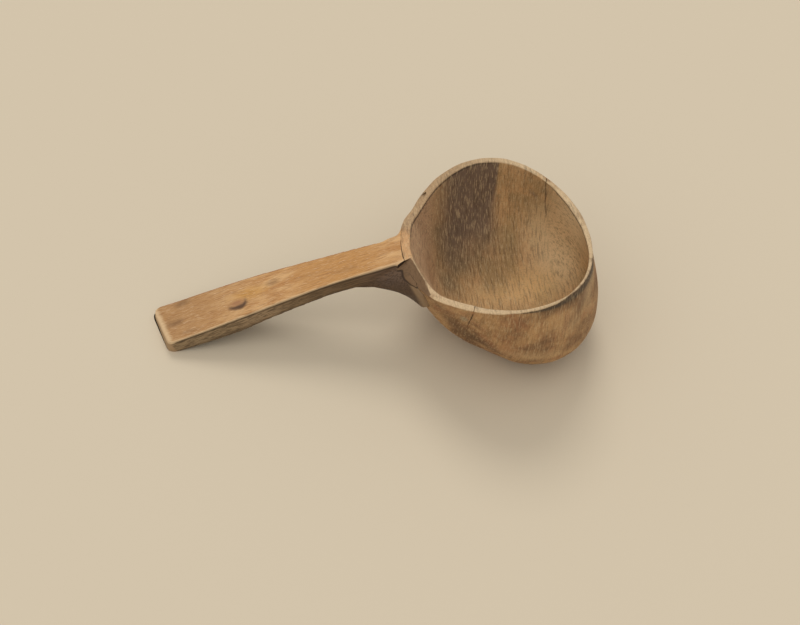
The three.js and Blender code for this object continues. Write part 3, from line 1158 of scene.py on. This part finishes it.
handle_wood, place, numbers = new_wood("old handled maple", HANDLE_ROUGHNESS, HANDLE_NUMBERS)
faces_up, from_end, from_side, drop, facet_gap, from_wall = numbers
tree = handle_wood.node_tree
turn = {"Vector": place, "Location": into_handle.translation * MM, "Rotation": into_handle.to_euler()}
flat = add_node(tree, "ShaderNodeMapping", {}, turn).outputs[0]
along, across, _ = in_millimetres(tree, flat)
streaks = pattern(tree, flat, **HANDLE_STREAKS)
fibres = pattern(tree, flat, **HANDLE_FIBRES)
clouds = pattern(tree, flat, **HANDLE_CLOUDS)
near_side = mask(tree, (across, *NEAR_SIDE))
far_side = add_node(tree, "ShaderNodeMath", {"operation": "SUBTRACT"}, {0: 1, 1: near_side}).outputs[0]
print("the handle's frame is turned by", round(math.degrees(into_handle.to_euler().z)), "degrees")

# %% [markdown]
# Top and sides of the handle
#
# The top changes slowly along the handle, from light tan at the head to orange in the middle
# and brown at the tip, with one yellow patch. Two or four numbers say where a finish comes in:
# the value where it starts, the value where it is full, and its share at both. Three numbers
# are a stripe: its start, its end and how softly it fades. Distances are in millimetres, those
# along the handle from its head, and the values of a pattern run from 0 to 1.

# %% Handle: top
HANDLE_TOP = "#D2A56F"
HANDLE_TOP_DEEP = "#B5824D"
HANDLE_ORANGE = "#BD8A50"
HANDLE_TIP = "#AD8253"
HANDLE_YELLOW = "#C8923F"
TOP_FACING = (0.5, 0.85)
TOP_DROP = (0.9, 1.7, 1, 0)
DEEP_CLOUDS = (0.38, 0.66)
ORANGE_STRETCH = (24, 50, 22)
TIP_STRETCH = (72, 138, 0, 0.9)
YELLOW_AT = (250, 293)
YELLOW_SIZE = (17, 7, 6)
YELLOW_SHARE = 0.5
SOFT_SPOT = 0.9


def handle_place(across, down):
    """Place on the handle's top, in the handle's own frame, of a place in the picture."""
    return into_handle @ seen_at(handle_tree, across, down)[0]


handle_tree = tree_of(handle)
top = mask(tree, (faces_up, *TOP_FACING), (drop, *TOP_DROP))
not_top = add_node(tree, "ShaderNodeMath", {"operation": "SUBTRACT"}, {0: 1, 1: top}).outputs[0]
top_colour = coat(tree, HANDLE_TOP, HANDLE_TOP_DEEP, (clouds, *DEEP_CLOUDS))
top_colour = coat(tree, top_colour, HANDLE_ORANGE, *stripe(along, *ORANGE_STRETCH))
top_colour = coat(tree, top_colour, HANDLE_TIP, (along, *TIP_STRETCH))
yellow = spot(tree, flat, handle_place(*YELLOW_AT), YELLOW_SIZE, SOFT_SPOT)
top_colour = coat(tree, top_colour, HANDLE_YELLOW, yellow, YELLOW_SHARE)
print("the handle's top has", len(tree.nodes), "nodes")

# %% Handle: sides and streaks
SIDE_TIP = "#98805F"
SIDE_MIDDLE = "#A08665"
SIDE_HEAD = "#6F583E"
SIDE_STREAK = "#3F2F20"
ROOT_SHADE = "#6A5444"
HANDLE_STREAK = "#8A5C34"
HANDLE_FLECK = "#E4C29A"
HEAD_TO_TIP = (20, 120)
MIDDLE_STRETCH = (84, 92, 14)
FAR_SHARE = 0.85
ROOT_STRETCH = (34, 12)
ROOT_SHARE = 0.85
DARK_STREAKS = (0.44, 0.62, 0, 0.72)
DARK_FIBRES = (0.54, 0.7, 0, 0.3)
UNDERSIDE = (6.5, 9, 0, 0.5)
TOP_STREAKS = (0.48, 0.66, 0, 0.62)
TOP_FLECKS = (0.55, 0.72, 0, 0.5)

# The sides are darker than the top, the near side most: partly old dirt and partly painted shade.
side_colour = coat(tree, SIDE_HEAD, SIDE_TIP, (along, *HEAD_TO_TIP))
side_colour = coat(tree, side_colour, SIDE_MIDDLE, *stripe(along, *MIDDLE_STRETCH))
side_colour = coat(tree, side_colour, SIDE_MIDDLE, far_side, FAR_SHARE)
# Painted shade on the near flank by the head, where the root flares down to the bowl.
side_colour = coat(tree, side_colour, ROOT_SHADE, (along, *ROOT_STRETCH), (near_side, 0, 1, 0, ROOT_SHARE))
side_colour = coat(tree, side_colour, SIDE_STREAK, (streaks, *DARK_STREAKS))
side_colour = coat(tree, side_colour, HANDLE_STREAK, (fibres, *DARK_FIBRES))
side_colour = coat(tree, side_colour, SIDE_STREAK, (drop, *UNDERSIDE))
colour = coat(tree, side_colour, top_colour, top)
colour = coat(tree, colour, HANDLE_STREAK, (streaks, *TOP_STREAKS), top)
colour = coat(tree, colour, HANDLE_FLECK, (fibres, *TOP_FLECKS), top)
print("the handle's grain has", len(tree.nodes), "nodes")

# %% [markdown]
# Knot, grime and worn edges
#
# One knot lies near the tip. Its reddish middle is an oval spot, and its dark crescent is what
# one spot leaves of another that is shifted a little. Thumbs have left a few smudges. At the
# edges the grime is rubbed off, in a pale line along the near side and the tip, and dirt has
# stayed in a thin dark line just below. Each of these lines is drawn from a stored distance.

# %% Handle: smudges and knot
HANDLE_GRIME = "#6E4C2C"
KNOT_COLOUR = "#9C6D49"
KNOT_DARK = "#4A3324"
HANDLE_WANDER = {"width": 6, "reach": 1.6, "detail": 3}
SMUDGES = (
    ((272, 283), (7, 3.5, 4), HANDLE_GRIME, 0.5),
    ((182, 303), (8, 5, 4), HANDLE_GRIME, 0.55),
    ((176, 323), (8, 4, 4), HANDLE_GRIME, 0.6),
    ((168, 324), (3, 7, 4), HANDLE_GRIME, 0.25),
    ((190, 331), (9, 2.5, 4), HANDLE_GRIME, 0.35),
    ((345, 270), (12, 3, 4), HANDLE_GRIME, 0.2),
    ((310, 275), (14, 3, 4), HANDLE_GRIME, 0.15),
    ((237, 303.5), (7.4, 5.2, 4), KNOT_COLOUR, 0.85),
)
CRESCENT_OUTSIDE = ((238, 304), (7.6, 5.6, 4), 0.45)
CRESCENT_INSIDE = ((235.5, 301.5), (7.4, 5, 4), 0.4)
CRESCENT_SHARE = 0.9

wander = wandering(tree, flat, **HANDLE_WANDER)
colour = lay_marks(tree, colour, wander, handle_place, SMUDGES, SOFT_SPOT)
crescent = []
for seen, size, soft in (CRESCENT_OUTSIDE, CRESCENT_INSIDE):
    crescent.append(spot(tree, wander, handle_place(*seen), size, soft))
beyond = add_node(tree, "ShaderNodeMath", {"operation": "SUBTRACT"}, {0: 1, 1: crescent[1]}).outputs[0]
colour = coat(tree, colour, KNOT_DARK, crescent[0], beyond, CRESCENT_SHARE)
print("marks on the handle:", len(SMUDGES))

# %% Handle: worn edges
HANDLE_WORN = "#DDBE93"
FAR_EDGE = "#8C4F33"
END_COLOUR = "#A98A66"
EDGE_WAVER = 0.5
DIRT_BELOW_EDGE = (1.3, 1.9, 0.5)
DIRT_SHARE = 0.6
SIDE_WORN = (0.6, 1.4, 0.5, 0)
SIDE_WORN_DROP = (0.7, 1.2, 1, 0)
FAR_LINE = (0.5, 1.3, 0.6, 0)
FAR_LINE_START = (10, 20)
FAR_LINE_DROP = (0.8, 1.8, 1, 0)
END_FACE = (1.5, 0.2)
END_FACE_SHARE = 0.8
END_WORN = (1, 4.2, 0.7, 0)
END_WORN_DROP = (1.2, 2, 1, 0)

side_gap = uneven(tree, from_side, streaks, EDGE_WAVER)
end_gap = uneven(tree, from_end, streaks, EDGE_WAVER)
colour = coat(tree, colour, SIDE_STREAK, *stripe(drop, *DIRT_BELOW_EDGE), not_top, near_side, DIRT_SHARE)
colour = coat(tree, colour, HANDLE_WORN, (side_gap, *SIDE_WORN), (drop, *SIDE_WORN_DROP), near_side)
far_line = mask(tree, (side_gap, *FAR_LINE), far_side, (along, *FAR_LINE_START), (drop, *FAR_LINE_DROP))
colour = coat(tree, colour, FAR_EDGE, far_line)
colour = coat(tree, colour, END_COLOUR, (from_end, *END_FACE), not_top, END_FACE_SHARE)
colour = coat(tree, colour, HANDLE_WORN, (end_gap, *END_WORN), (drop, *END_WORN_DROP))
print("the handle's edges have", len(tree.nodes), "nodes")

# %% [markdown]
# The pared facet on the handle
#
# The facet beside the handle was pared across the grain, so it is a plain dull brown. A dark
# line of painted shade lies in the crease where it ends and on the small step at its head.
# Where the handle meets the bowl a paler band is painted along the joint, a painted highlight.

# %% Handle: facet, band and finish
FACET_COLOUR = "#7A5E42"
FACET_SHADE_LINE = "#33261C"
BAND_HIGHLIGHT = "#94795A"
FACET_WAVER = 0.2
BAND_GAP = (1.7, 3.2, 0.85, 0)
FACET_GAP = (0.25, 0.6, 1, 0)
FACET_STREAKS = (0.5, 0.7, 0, 0.35)
FACET_EDGE = (0.35, 0.6, 0.25)
FACET_EDGE_SHARE = 0.8
FACET_STEP = (-0.6, -0.3, 1, 0)
HANDLE_BUMP = 0.35
HANDLE_ROUGHNESS_RANGE = (0.52, 0.72)

# Painted highlight: a paler band beside the bowl's wall on the near side.
colour = coat(tree, colour, BAND_HIGHLIGHT, (from_wall, *BAND_GAP), not_top, near_side)
pared = uneven(tree, facet_gap, clouds, FACET_WAVER)
facet_share = mask(tree, (pared, *FACET_GAP))
colour = coat(tree, colour, FACET_COLOUR, facet_share)
colour = coat(tree, colour, SIDE_STREAK, (streaks, *FACET_STREAKS), facet_share)
# Painted shade in a dark line at the facet's edge and on its step.
colour = coat(tree, colour, FACET_SHADE_LINE, *stripe(pared, *FACET_EDGE), FACET_EDGE_SHARE)
colour = coat(tree, colour, FACET_SHADE_LINE, (pared, *FACET_STEP))
finish_wood(handle_wood, colour, (streaks, fibres), clouds, HANDLE_BUMP, HANDLE_ROUGHNESS_RANGE)
finish_with(handle, handle_wood)

# %% [markdown]
# Old stained burl
#
# The bowl has the same kind of wood, but it is duller than the handle and its colour comes from
# use. The fibres run down the side walls, so the streaks there are fine along x and long along
# y and z. On the two end walls such streaks would be cut in rings, so a second pattern takes
# over, which is long only along y. The streaks are about a millimetre wide, coarser than real
# fibres, so that they show.

# %% Bowl: grain
# Streaks and fibres give the size on the sides, the size on the ends, the detail and roughness
BOWL_ROUGHNESS = 0.68
BOWL_STREAKS = ((1, 10, 10), (1.2, 10, 1.2), 4, 0.6)
BOWL_FIBRES = ((0.6, 4.5, 4.5), (0.7, 4.5, 0.7), 2, 0.5)
BOWL_CLOUDS = {"size": (15, 19, 13), "detail": 4, "roughness": 0.6}
BOWL_PATCHES = {"size": (7, 9, 7), "detail": 3, "roughness": 0.5}
BOWL_WANDER = {"width": 14, "reach": 3, "detail": 3}
BOWL_NUMBERS = ("under_rim", "inside", "from_facet", "from_crack")
END_WALL = (30, 42)

bowl_wood, place, numbers = new_wood("old stained burl", BOWL_ROUGHNESS, BOWL_NUMBERS)
under_rim, inside_share, facet_gap, from_crack_line = numbers
tree = bowl_wood.node_tree
wall_x, wall_y, wall_z = in_millimetres(tree, place)
from_middle = add_node(tree, "ShaderNodeMath", {"operation": "ABSOLUTE"}, {0: wall_x}).outputs[0]
end_wall = mask(tree, (from_middle, *END_WALL))


def wall_grain(side_size, end_size, detail, roughness):
    """Grain that runs down the side walls and along the two end walls."""
    on_sides = pattern(tree, place, side_size, detail, roughness)
    on_ends = pattern(tree, place, end_size, detail, roughness)
    links = {0: end_wall, 2: on_sides, 3: on_ends}
    return add_node(tree, "ShaderNodeMix", {"data_type": "FLOAT"}, links).outputs[0]


def bowl_place(across, down):
    """Place on the bowl that shows at a place in the picture."""
    return seen_at(bowl_tree, across, down)[0]


streaks = wall_grain(*BOWL_STREAKS)
fibres = wall_grain(*BOWL_FIBRES)
clouds = pattern(tree, place, **BOWL_CLOUDS)
patches = pattern(tree, place, **BOWL_PATCHES)
wander = wandering(tree, place, **BOWL_WANDER)
print("the bowl's grain has", len(tree.nodes), "nodes")

# %% [markdown]
# Outside of the bowl
#
# The outside is a dull reddish brown with soft darker clouds. Towards the table and on the near
# left it is darker, a painted shade, and at the far right a little grey. Each mark is centred
# where a line of sight through the picture meets the wood.

# %% Bowl: outside
OUTSIDE = "#B78E5F"
OUTSIDE_DARK = "#72533A"
OUTSIDE_RED = "#9E6A45"
OUTSIDE_GREY = "#A99878"
OUTSIDE_PALE = "#BC9A6E"
OUTSIDE_SHADE = "#5C422C"
RED_PATCHES = (0.45, 0.7, 0, 0.6)
DARK_CLOUDS = (0.36, 0.72, 0, 0.8)
# The darkest brown marks, low down and on the near left, are painted shade.
OUTSIDE_MARKS = (
    ((438, 309), (7, 6, 5), OUTSIDE_RED, 0.5),
    ((468, 334), (26, 13, 15), OUTSIDE_SHADE, 0.8),
    ((492, 348), (18, 10, 9), OUTSIDE_SHADE, 0.6),
    ((452, 321), (11, 9, 12), OUTSIDE_SHADE, 0.6),
    ((500, 349), (30, 14, 9), OUTSIDE_RED, 0.4),
    ((515, 322), (12, 9, 8), OUTSIDE_RED, 0.35),
    ((532, 357), (28, 15, 9), OUTSIDE_PALE, 0.7),
    ((573, 322), (14, 14, 12), OUTSIDE_PALE, 0.45),
    ((464, 319), (3.2, 6, 7), OUTSIDE_GREY, 0.8),
    ((588, 285), (9, 20, 20), OUTSIDE_GREY, 0.35),
    ((590, 262), (8, 16, 14), OUTSIDE_GREY, 0.5),
)

outside = coat(tree, OUTSIDE, OUTSIDE_RED, (patches, *RED_PATCHES))
outside = coat(tree, outside, OUTSIDE_DARK, (clouds, *DARK_CLOUDS))
outside = lay_marks(tree, outside, wander, bowl_place, OUTSIDE_MARKS, SOFT_SPOT)
print("marks on the outside:", len(OUTSIDE_MARKS))

# %% [markdown]
# Inside of the bowl
#
# A dark patch runs down one side of the far wall, partly a stain that food and water have left
# and partly painted shade, with an edge as sharp as a waterline at the top and a soft one lower
# down. A spoon has scoured the bottom and the right to a clean ochre, and the pale and bright
# spots laid there are painted light. The patch ends at a line across the bowl, whose softness
# changes with height.

# %% Bowl: inside
INSIDE_OCHRE = "#C49A68"
INSIDE_LIGHT = "#E3B97E"
INSIDE_PALE_LIGHT = "#EDD0A0"
INSIDE_DULL = "#A08459"
INSIDE_RED = "#BC9672"
STAIN_AND_SHADE = "#6F5C4D"
OLIVE_STAIN_AND_SHADE = "#8A7350"
DULL_CLOUDS = (0.42, 0.66, 0, 0.7)
RED_START = 4
RED_FULL = -8
INSIDE_SOFTNESS = 0.95
# The pale and bright marks on the right and at the bottom are painted light; the olive marks on the left
# are partly stain and partly painted shade.
INSIDE_MARKS = (
    ((455, 262), (18, 16, 16), OLIVE_STAIN_AND_SHADE, 0.8),
    ((450, 285), (14, 12, 12), OLIVE_STAIN_AND_SHADE, 0.7),
    ((440, 240), (9, 20, 20), OLIVE_STAIN_AND_SHADE, 0.55),
    ((560, 262), (28, 30, 26), INSIDE_PALE_LIGHT, 0.65),
    ((535, 285), (28, 20, 16), INSIDE_LIGHT, 0.75),
    ((572, 222), (20, 36, 38), INSIDE_PALE_LIGHT, 0.95),
    ((543, 226), (18, 22, 26), INSIDE_PALE_LIGHT, 0.45),
    ((500, 296), (38, 14, 14), INSIDE_LIGHT, 0.4),
    ((510, 240), (10, 22, 26), INSIDE_DULL, 0.85),
    ((533, 195), (4, 4, 3.4), STAIN_AND_SHADE, 0.5),
)
STAIN_SHARP_AT = (498, 172)
STAIN_LOW_AT = (470, 268)
STAIN_LEFT_AT = (436, 215)

stain_edge = bowl_place(*STAIN_SHARP_AT)
stain_low = bowl_place(*STAIN_LOW_AT)
stain_left = bowl_place(*STAIN_LEFT_AT)
inside = coat(tree, INSIDE_OCHRE, INSIDE_DULL, (clouds, *DULL_CLOUDS))
inside = coat(tree, inside, INSIDE_RED, (wall_x, stain_left.x + RED_START, stain_left.x + RED_FULL))
inside = lay_marks(tree, inside, wander, bowl_place, INSIDE_MARKS, INSIDE_SOFTNESS)
print("marks on the inside:", len(INSIDE_MARKS))

# %% Bowl: stain
EDGE_SOFT_LOW = 9
EDGE_SOFT_HIGH = 0.5
STAIN_LEFT_FADE = (-7, 12)
STAIN_LOW_FADE = (-8, 16)
STAIN_SHARE = 0.92

wander_x, _, wander_z = in_millimetres(tree, wander)
softness = mask(tree, (wall_z, stain_low.z, stain_edge.z, EDGE_SOFT_LOW, EDGE_SOFT_HIGH))
past_edge = wall_x
for operation, value in (("SUBTRACT", stain_edge.x), ("DIVIDE", softness)):
    links = {0: past_edge, 1: value}
    past_edge = add_node(tree, "ShaderNodeMath", {"operation": operation}, links).outputs[0]
left_fade = [stain_left.x + offset for offset in STAIN_LEFT_FADE]
low_fade = [stain_low.z + offset for offset in STAIN_LOW_FADE]
# The dark patch is partly a real stain and partly painted shade on the far wall's inside.
stain_and_shade = mask(tree, (past_edge, -1, 1, 1, 0), (wander_x, *left_fade), (wander_z, *low_fade))
inside = coat(tree, inside, STAIN_AND_SHADE, stain_and_shade, STAIN_SHARE)
print("the stain ends at x =", round(stain_edge.x, 1), "mm")

# %% [markdown]
# Rim and lines of the bowl
#
# The rim is rubbed pale, duller on the left and warm where the handle's head meets it. A dark
# line of painted shade lies just under it, outside at the near right and inside at the upper
# left and the right, and a wider painted shade darkens the outside below it at the near right.
# The stored depth under the rim places all of these. Masks along x and y, in millimetres from
# the middle of the foot, say where on the rim each line shows.

# %% Bowl: inside and outside meet
WALL_MIDDLE = (0.45, 0.55)
RIM_WAVER = 0.2
SHADE_DEPTH = (2, 10, 0.85, 0)
SHADE_X = (-8, 18)
SHADE_Y = (16, -6)

through = mask(tree, (inside_share, *WALL_MIDDLE))
not_through = add_node(tree, "ShaderNodeMath", {"operation": "SUBTRACT"}, {0: 1, 1: through}).outputs[0]
under = uneven(tree, under_rim, patches, RIM_WAVER)
# Painted shade on the outside just under the rim, at the near right.
shaded = mask(tree, (under, *SHADE_DEPTH), (wall_x, *SHADE_X), (wall_y, *SHADE_Y), (through, 0, 1, 1, 0))
colour = coat(tree, outside, inside, through)
colour = coat(tree, colour, OUTSIDE_SHADE, shaded)
print("the bowl's walls have", len(tree.nodes), "nodes")

# %% Bowl: lines under the rim
RIM_SHADE_AND_DIRT = "#4B4034"
OUTER_LINE_WIDTH = (-14, 36, 0.5, 6.5)
OUTER_LINE = (0.3, 0.6, 0.35)
OUTER_LINE_SHARE = 0.85
NEAR_RIGHT_X = (-14, 2)
NEAR_RIGHT_Y = (-8, -24)
INNER_LINE = (0.7, 1.5, 0.5)
INNER_LINE_SHARE = 0.75
UPPER_LEFT_X = (8, -10)
UPPER_LEFT_Y = (0, 16)
RIGHT_X = (26, 40)

# Painted shade: a dark line just under the rim, outside at the near right and inside at the upper left
# and the right.
line_width = mask(tree, (wall_x, *OUTER_LINE_WIDTH))
links = {0: under, 1: line_width}
line_depth = add_node(tree, "ShaderNodeMath", {"operation": "DIVIDE"}, links).outputs[0]
near_right = mask(tree, (wall_x, *NEAR_RIGHT_X), (wall_y, *NEAR_RIGHT_Y))
outer_line = mask(tree, *stripe(line_depth, *OUTER_LINE), not_through, near_right, OUTER_LINE_SHARE)
upper_left = mask(tree, (wall_x, *UPPER_LEFT_X), (wall_y, *UPPER_LEFT_Y))
right_side = mask(tree, (wall_x, *RIGHT_X))
links = {0: upper_left, 1: right_side}
inner_place = add_node(tree, "ShaderNodeMath", {"operation": "MAXIMUM"}, links).outputs[0]
inner_line = mask(tree, *stripe(under, *INNER_LINE), through, inner_place, INNER_LINE_SHARE)
links = {0: outer_line, 1: inner_line}
lines = add_node(tree, "ShaderNodeMath", {"operation": "MAXIMUM"}, links).outputs[0]
colour = coat(tree, colour, RIM_SHADE_AND_DIRT, lines)
print("the bowl's lines have", len(tree.nodes), "nodes")

# %% Bowl: rim
RIM_COLOUR = "#CDB088"
RIM_DULL = "#AE8E68"
RIM_HEAD = "#CE9C68"
RIM_LEFT_X = (20, -30)
RIM_LEFT_Y = (-16, 8)
RIM_PATCHES = (0.5, 0.72, 0, 0.6)
RIM_HEAD_AT = (405.5, 246)
RIM_HEAD_SIZE = (9, 17, 12)
RIM_HEAD_SOFTNESS = 0.6
RIM_HEAD_SHARE = 0.85
RIM_DEPTH = (0.25, 0.7, 0.9, 0)

rim_colour = coat(tree, RIM_COLOUR, RIM_DULL, (wall_x, *RIM_LEFT_X), (wall_y, *RIM_LEFT_Y))
rim_colour = coat(tree, rim_colour, RIM_DULL, (patches, *RIM_PATCHES))
head_spot = spot(tree, place, bowl_place(*RIM_HEAD_AT), RIM_HEAD_SIZE, RIM_HEAD_SOFTNESS)
rim_colour = coat(tree, rim_colour, RIM_HEAD, head_spot, RIM_HEAD_SHARE)
colour = coat(tree, colour, rim_colour, (under, *RIM_DEPTH))
print("the bowl's rim has", len(tree.nodes), "nodes")

# %% Bowl: facet
BOWL_FACET_WAVER = 0.15
BOWL_FACET_GAP = (0.3, 0.55, 1, 0)
BELOW_RIM_TOP = (-0.2, 0.4)
INNER_EDGE = (0.82, 0.92)
INNER_EDGE_SHARE = 0.8

pared = uneven(tree, facet_gap, patches, BOWL_FACET_WAVER)
facet_share = mask(tree, (pared, *BOWL_FACET_GAP), (under, *BELOW_RIM_TOP))
colour = coat(tree, colour, FACET_COLOUR, facet_share)
colour = coat(tree, colour, RIM_COLOUR, facet_share, (inside_share, *INNER_EDGE), INNER_EDGE_SHARE)
# Painted shade on the facet's small step.
colour = coat(tree, colour, FACET_SHADE_LINE, (pared, *FACET_STEP))
print("the bowl's facet has", len(tree.nodes), "nodes")

# %% [markdown]
# Fibres, cracks and finish
#
# The fibres come last, so that they run through all the coats: dark streaks, pale flecks and
# fine specks, each a little stronger inside. The facet keeps clear of the pale flecks, as it was
# cut clean. Dirt has settled in the chip, and the dark line beside the cracks is grime and
# painted shade.

# %% Bowl: fibres, dirt and finish
BOWL_STREAK = "#4A3623"
BOWL_FIBRE = "#D8BC8E"
CRACK_SHADE_AND_GRIME = "#2E2219"
STREAK_SHOWS = (0.46, 0.7)
STREAK_SHARES = (0.36, 0.5)
FIBRE_SHOWS = (0.5, 0.66)
FIBRE_SHARES = (0.26, 0.4)
CLEAR_OF_FACET = (0.4, 1.6)
BOWL_SPECKS = {"size": (0.9, 0.9, 0.9), "detail": 2, "roughness": 0.6}
SPECK_SHOWS = (0.5, 0.66, 0, 0.22)
CHIP_GRIME_SIZE = (3.6, 3.6, 1)
CHIP_SOFTNESS = 0.8
CHIP_SHARE = 0.45
CRACK_WAVER = 0.3
CRACK_GAP = (0.1, 0.6, 0.45, 0)
BOWL_BUMP = 0.4
BOWL_ROUGHNESS_RANGE = (0.6, 0.78)

colour = coat(tree, colour, BOWL_STREAK, (streaks, *STREAK_SHOWS), (through, 0, 1, *STREAK_SHARES))
fibre_share = mask(tree, (through, 0, 1, *FIBRE_SHARES), (pared, *CLEAR_OF_FACET))
colour = coat(tree, colour, BOWL_FIBRE, (fibres, *FIBRE_SHOWS), fibre_share)
colour = coat(tree, colour, BOWL_STREAK, (pattern(tree, place, **BOWL_SPECKS), *SPECK_SHOWS))
chipped = spot(tree, place, chip_centre, CHIP_GRIME_SIZE, CHIP_SOFTNESS)
colour = coat(tree, colour, RIM_SHADE_AND_DIRT, chipped, not_through, CHIP_SHARE)
# Painted shade and grime in a dark line beside the cracks.
crack_gap = uneven(tree, from_crack_line, patches, CRACK_WAVER)
colour = coat(tree, colour, CRACK_SHADE_AND_GRIME, (crack_gap, *CRACK_GAP))
finish_wood(bowl_wood, colour, (streaks, fibres), clouds, BOWL_BUMP, BOWL_ROUGHNESS_RANGE)
finish_with(bowl, bowl_wood)

# %% [markdown]
# Table and light
#
# The ladle lies on a plain pale surface. A lamp stands behind it, so the top of the handle is
# light, the sides that face the viewer are darker, and a shadow falls forward. A second lamp is
# very wide and stands in front, which keeps those sides from going black. The rest of the light
# comes evenly from all round.

# %% Floor
FLOOR_COLOUR = "#D3C4AB"
FLOOR_SIZE = 6000

floor_bm = bmesh.new()
bmesh.ops.create_grid(floor_bm, x_segments=1, y_segments=1, size=FLOOR_SIZE / 2)
floor = make_object(floor_bm, "floor")
floor_paint = bpy.data.materials.new("pale matt board")
floor_paint.use_nodes = True
floor_shader = floor_paint.node_tree.nodes["Principled BSDF"]
floor_shader.inputs["Base Color"].default_value = linear(FLOOR_COLOUR)
floor_shader.inputs["Roughness"].default_value = 1
floor_shader.inputs["Specular IOR Level"].default_value = 0
finish_with(floor, floor_paint)

# %% World
SKY_COLOUR = "#FFFFFF"
SKY_STRENGTH = 0.59

world = bpy.data.worlds.new("even light")
bpy.context.scene.world = world
world.use_nodes = True
sky_tree = world.node_tree
sky = sky_tree.nodes["Background"]
sky.inputs["Color"].default_value = linear(SKY_COLOUR)
sky.inputs["Strength"].default_value = SKY_STRENGTH
behind = add_node(sky_tree, "ShaderNodeBackground", {}, {"Color": linear(FLOOR_COLOUR), "Strength": 1})
rays = add_node(sky_tree, "ShaderNodeLightPath", {}, {})
chosen = add_node(
    sky_tree,
    "ShaderNodeMixShader",
    {},
    {0: rays.outputs["Is Camera Ray"], 1: sky.outputs[0], 2: behind.outputs[0]},
)
sky_tree.links.new(chosen.outputs[0], sky_tree.nodes["World Output"].inputs[0])
print("the sky's strength is", SKY_STRENGTH)

# %% Lamps
# Each row is the name, the strength, and the width, height and turn in degrees
LAMPS = (
    ("lamp behind", 0.9, 26, 52, 90),
    ("lamp in front", 0.69, 80, 58, -125),
)

for name, strength, width, height, turn in LAMPS:
    lamp_data = bpy.data.lights.new(name, "SUN")
    lamp_data.energy = strength
    lamp_data.angle = math.radians(width)
    lamp = bpy.data.objects.new(name, lamp_data)
    tipped = Matrix.Rotation(math.radians(90 - height), 4, "Y")
    lamp.matrix_world = Matrix.Rotation(math.radians(turn), 4, "Z") @ tipped
    bpy.context.scene.collection.objects.link(lamp)
bpy.context.scene.view_settings.view_transform = "Standard"
print("lamps:", len(LAMPS))

# %% [markdown]
# Back to the imported model
#
# Each new piece takes the place of its plain solid and rides on the same body.

# %% Hand the pieces over
for piece, node, slot in ((bowl, "bowl", "bowl_wood"), (handle, "handle", "handle_wood")):
    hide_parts(node)
    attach(piece, "root")
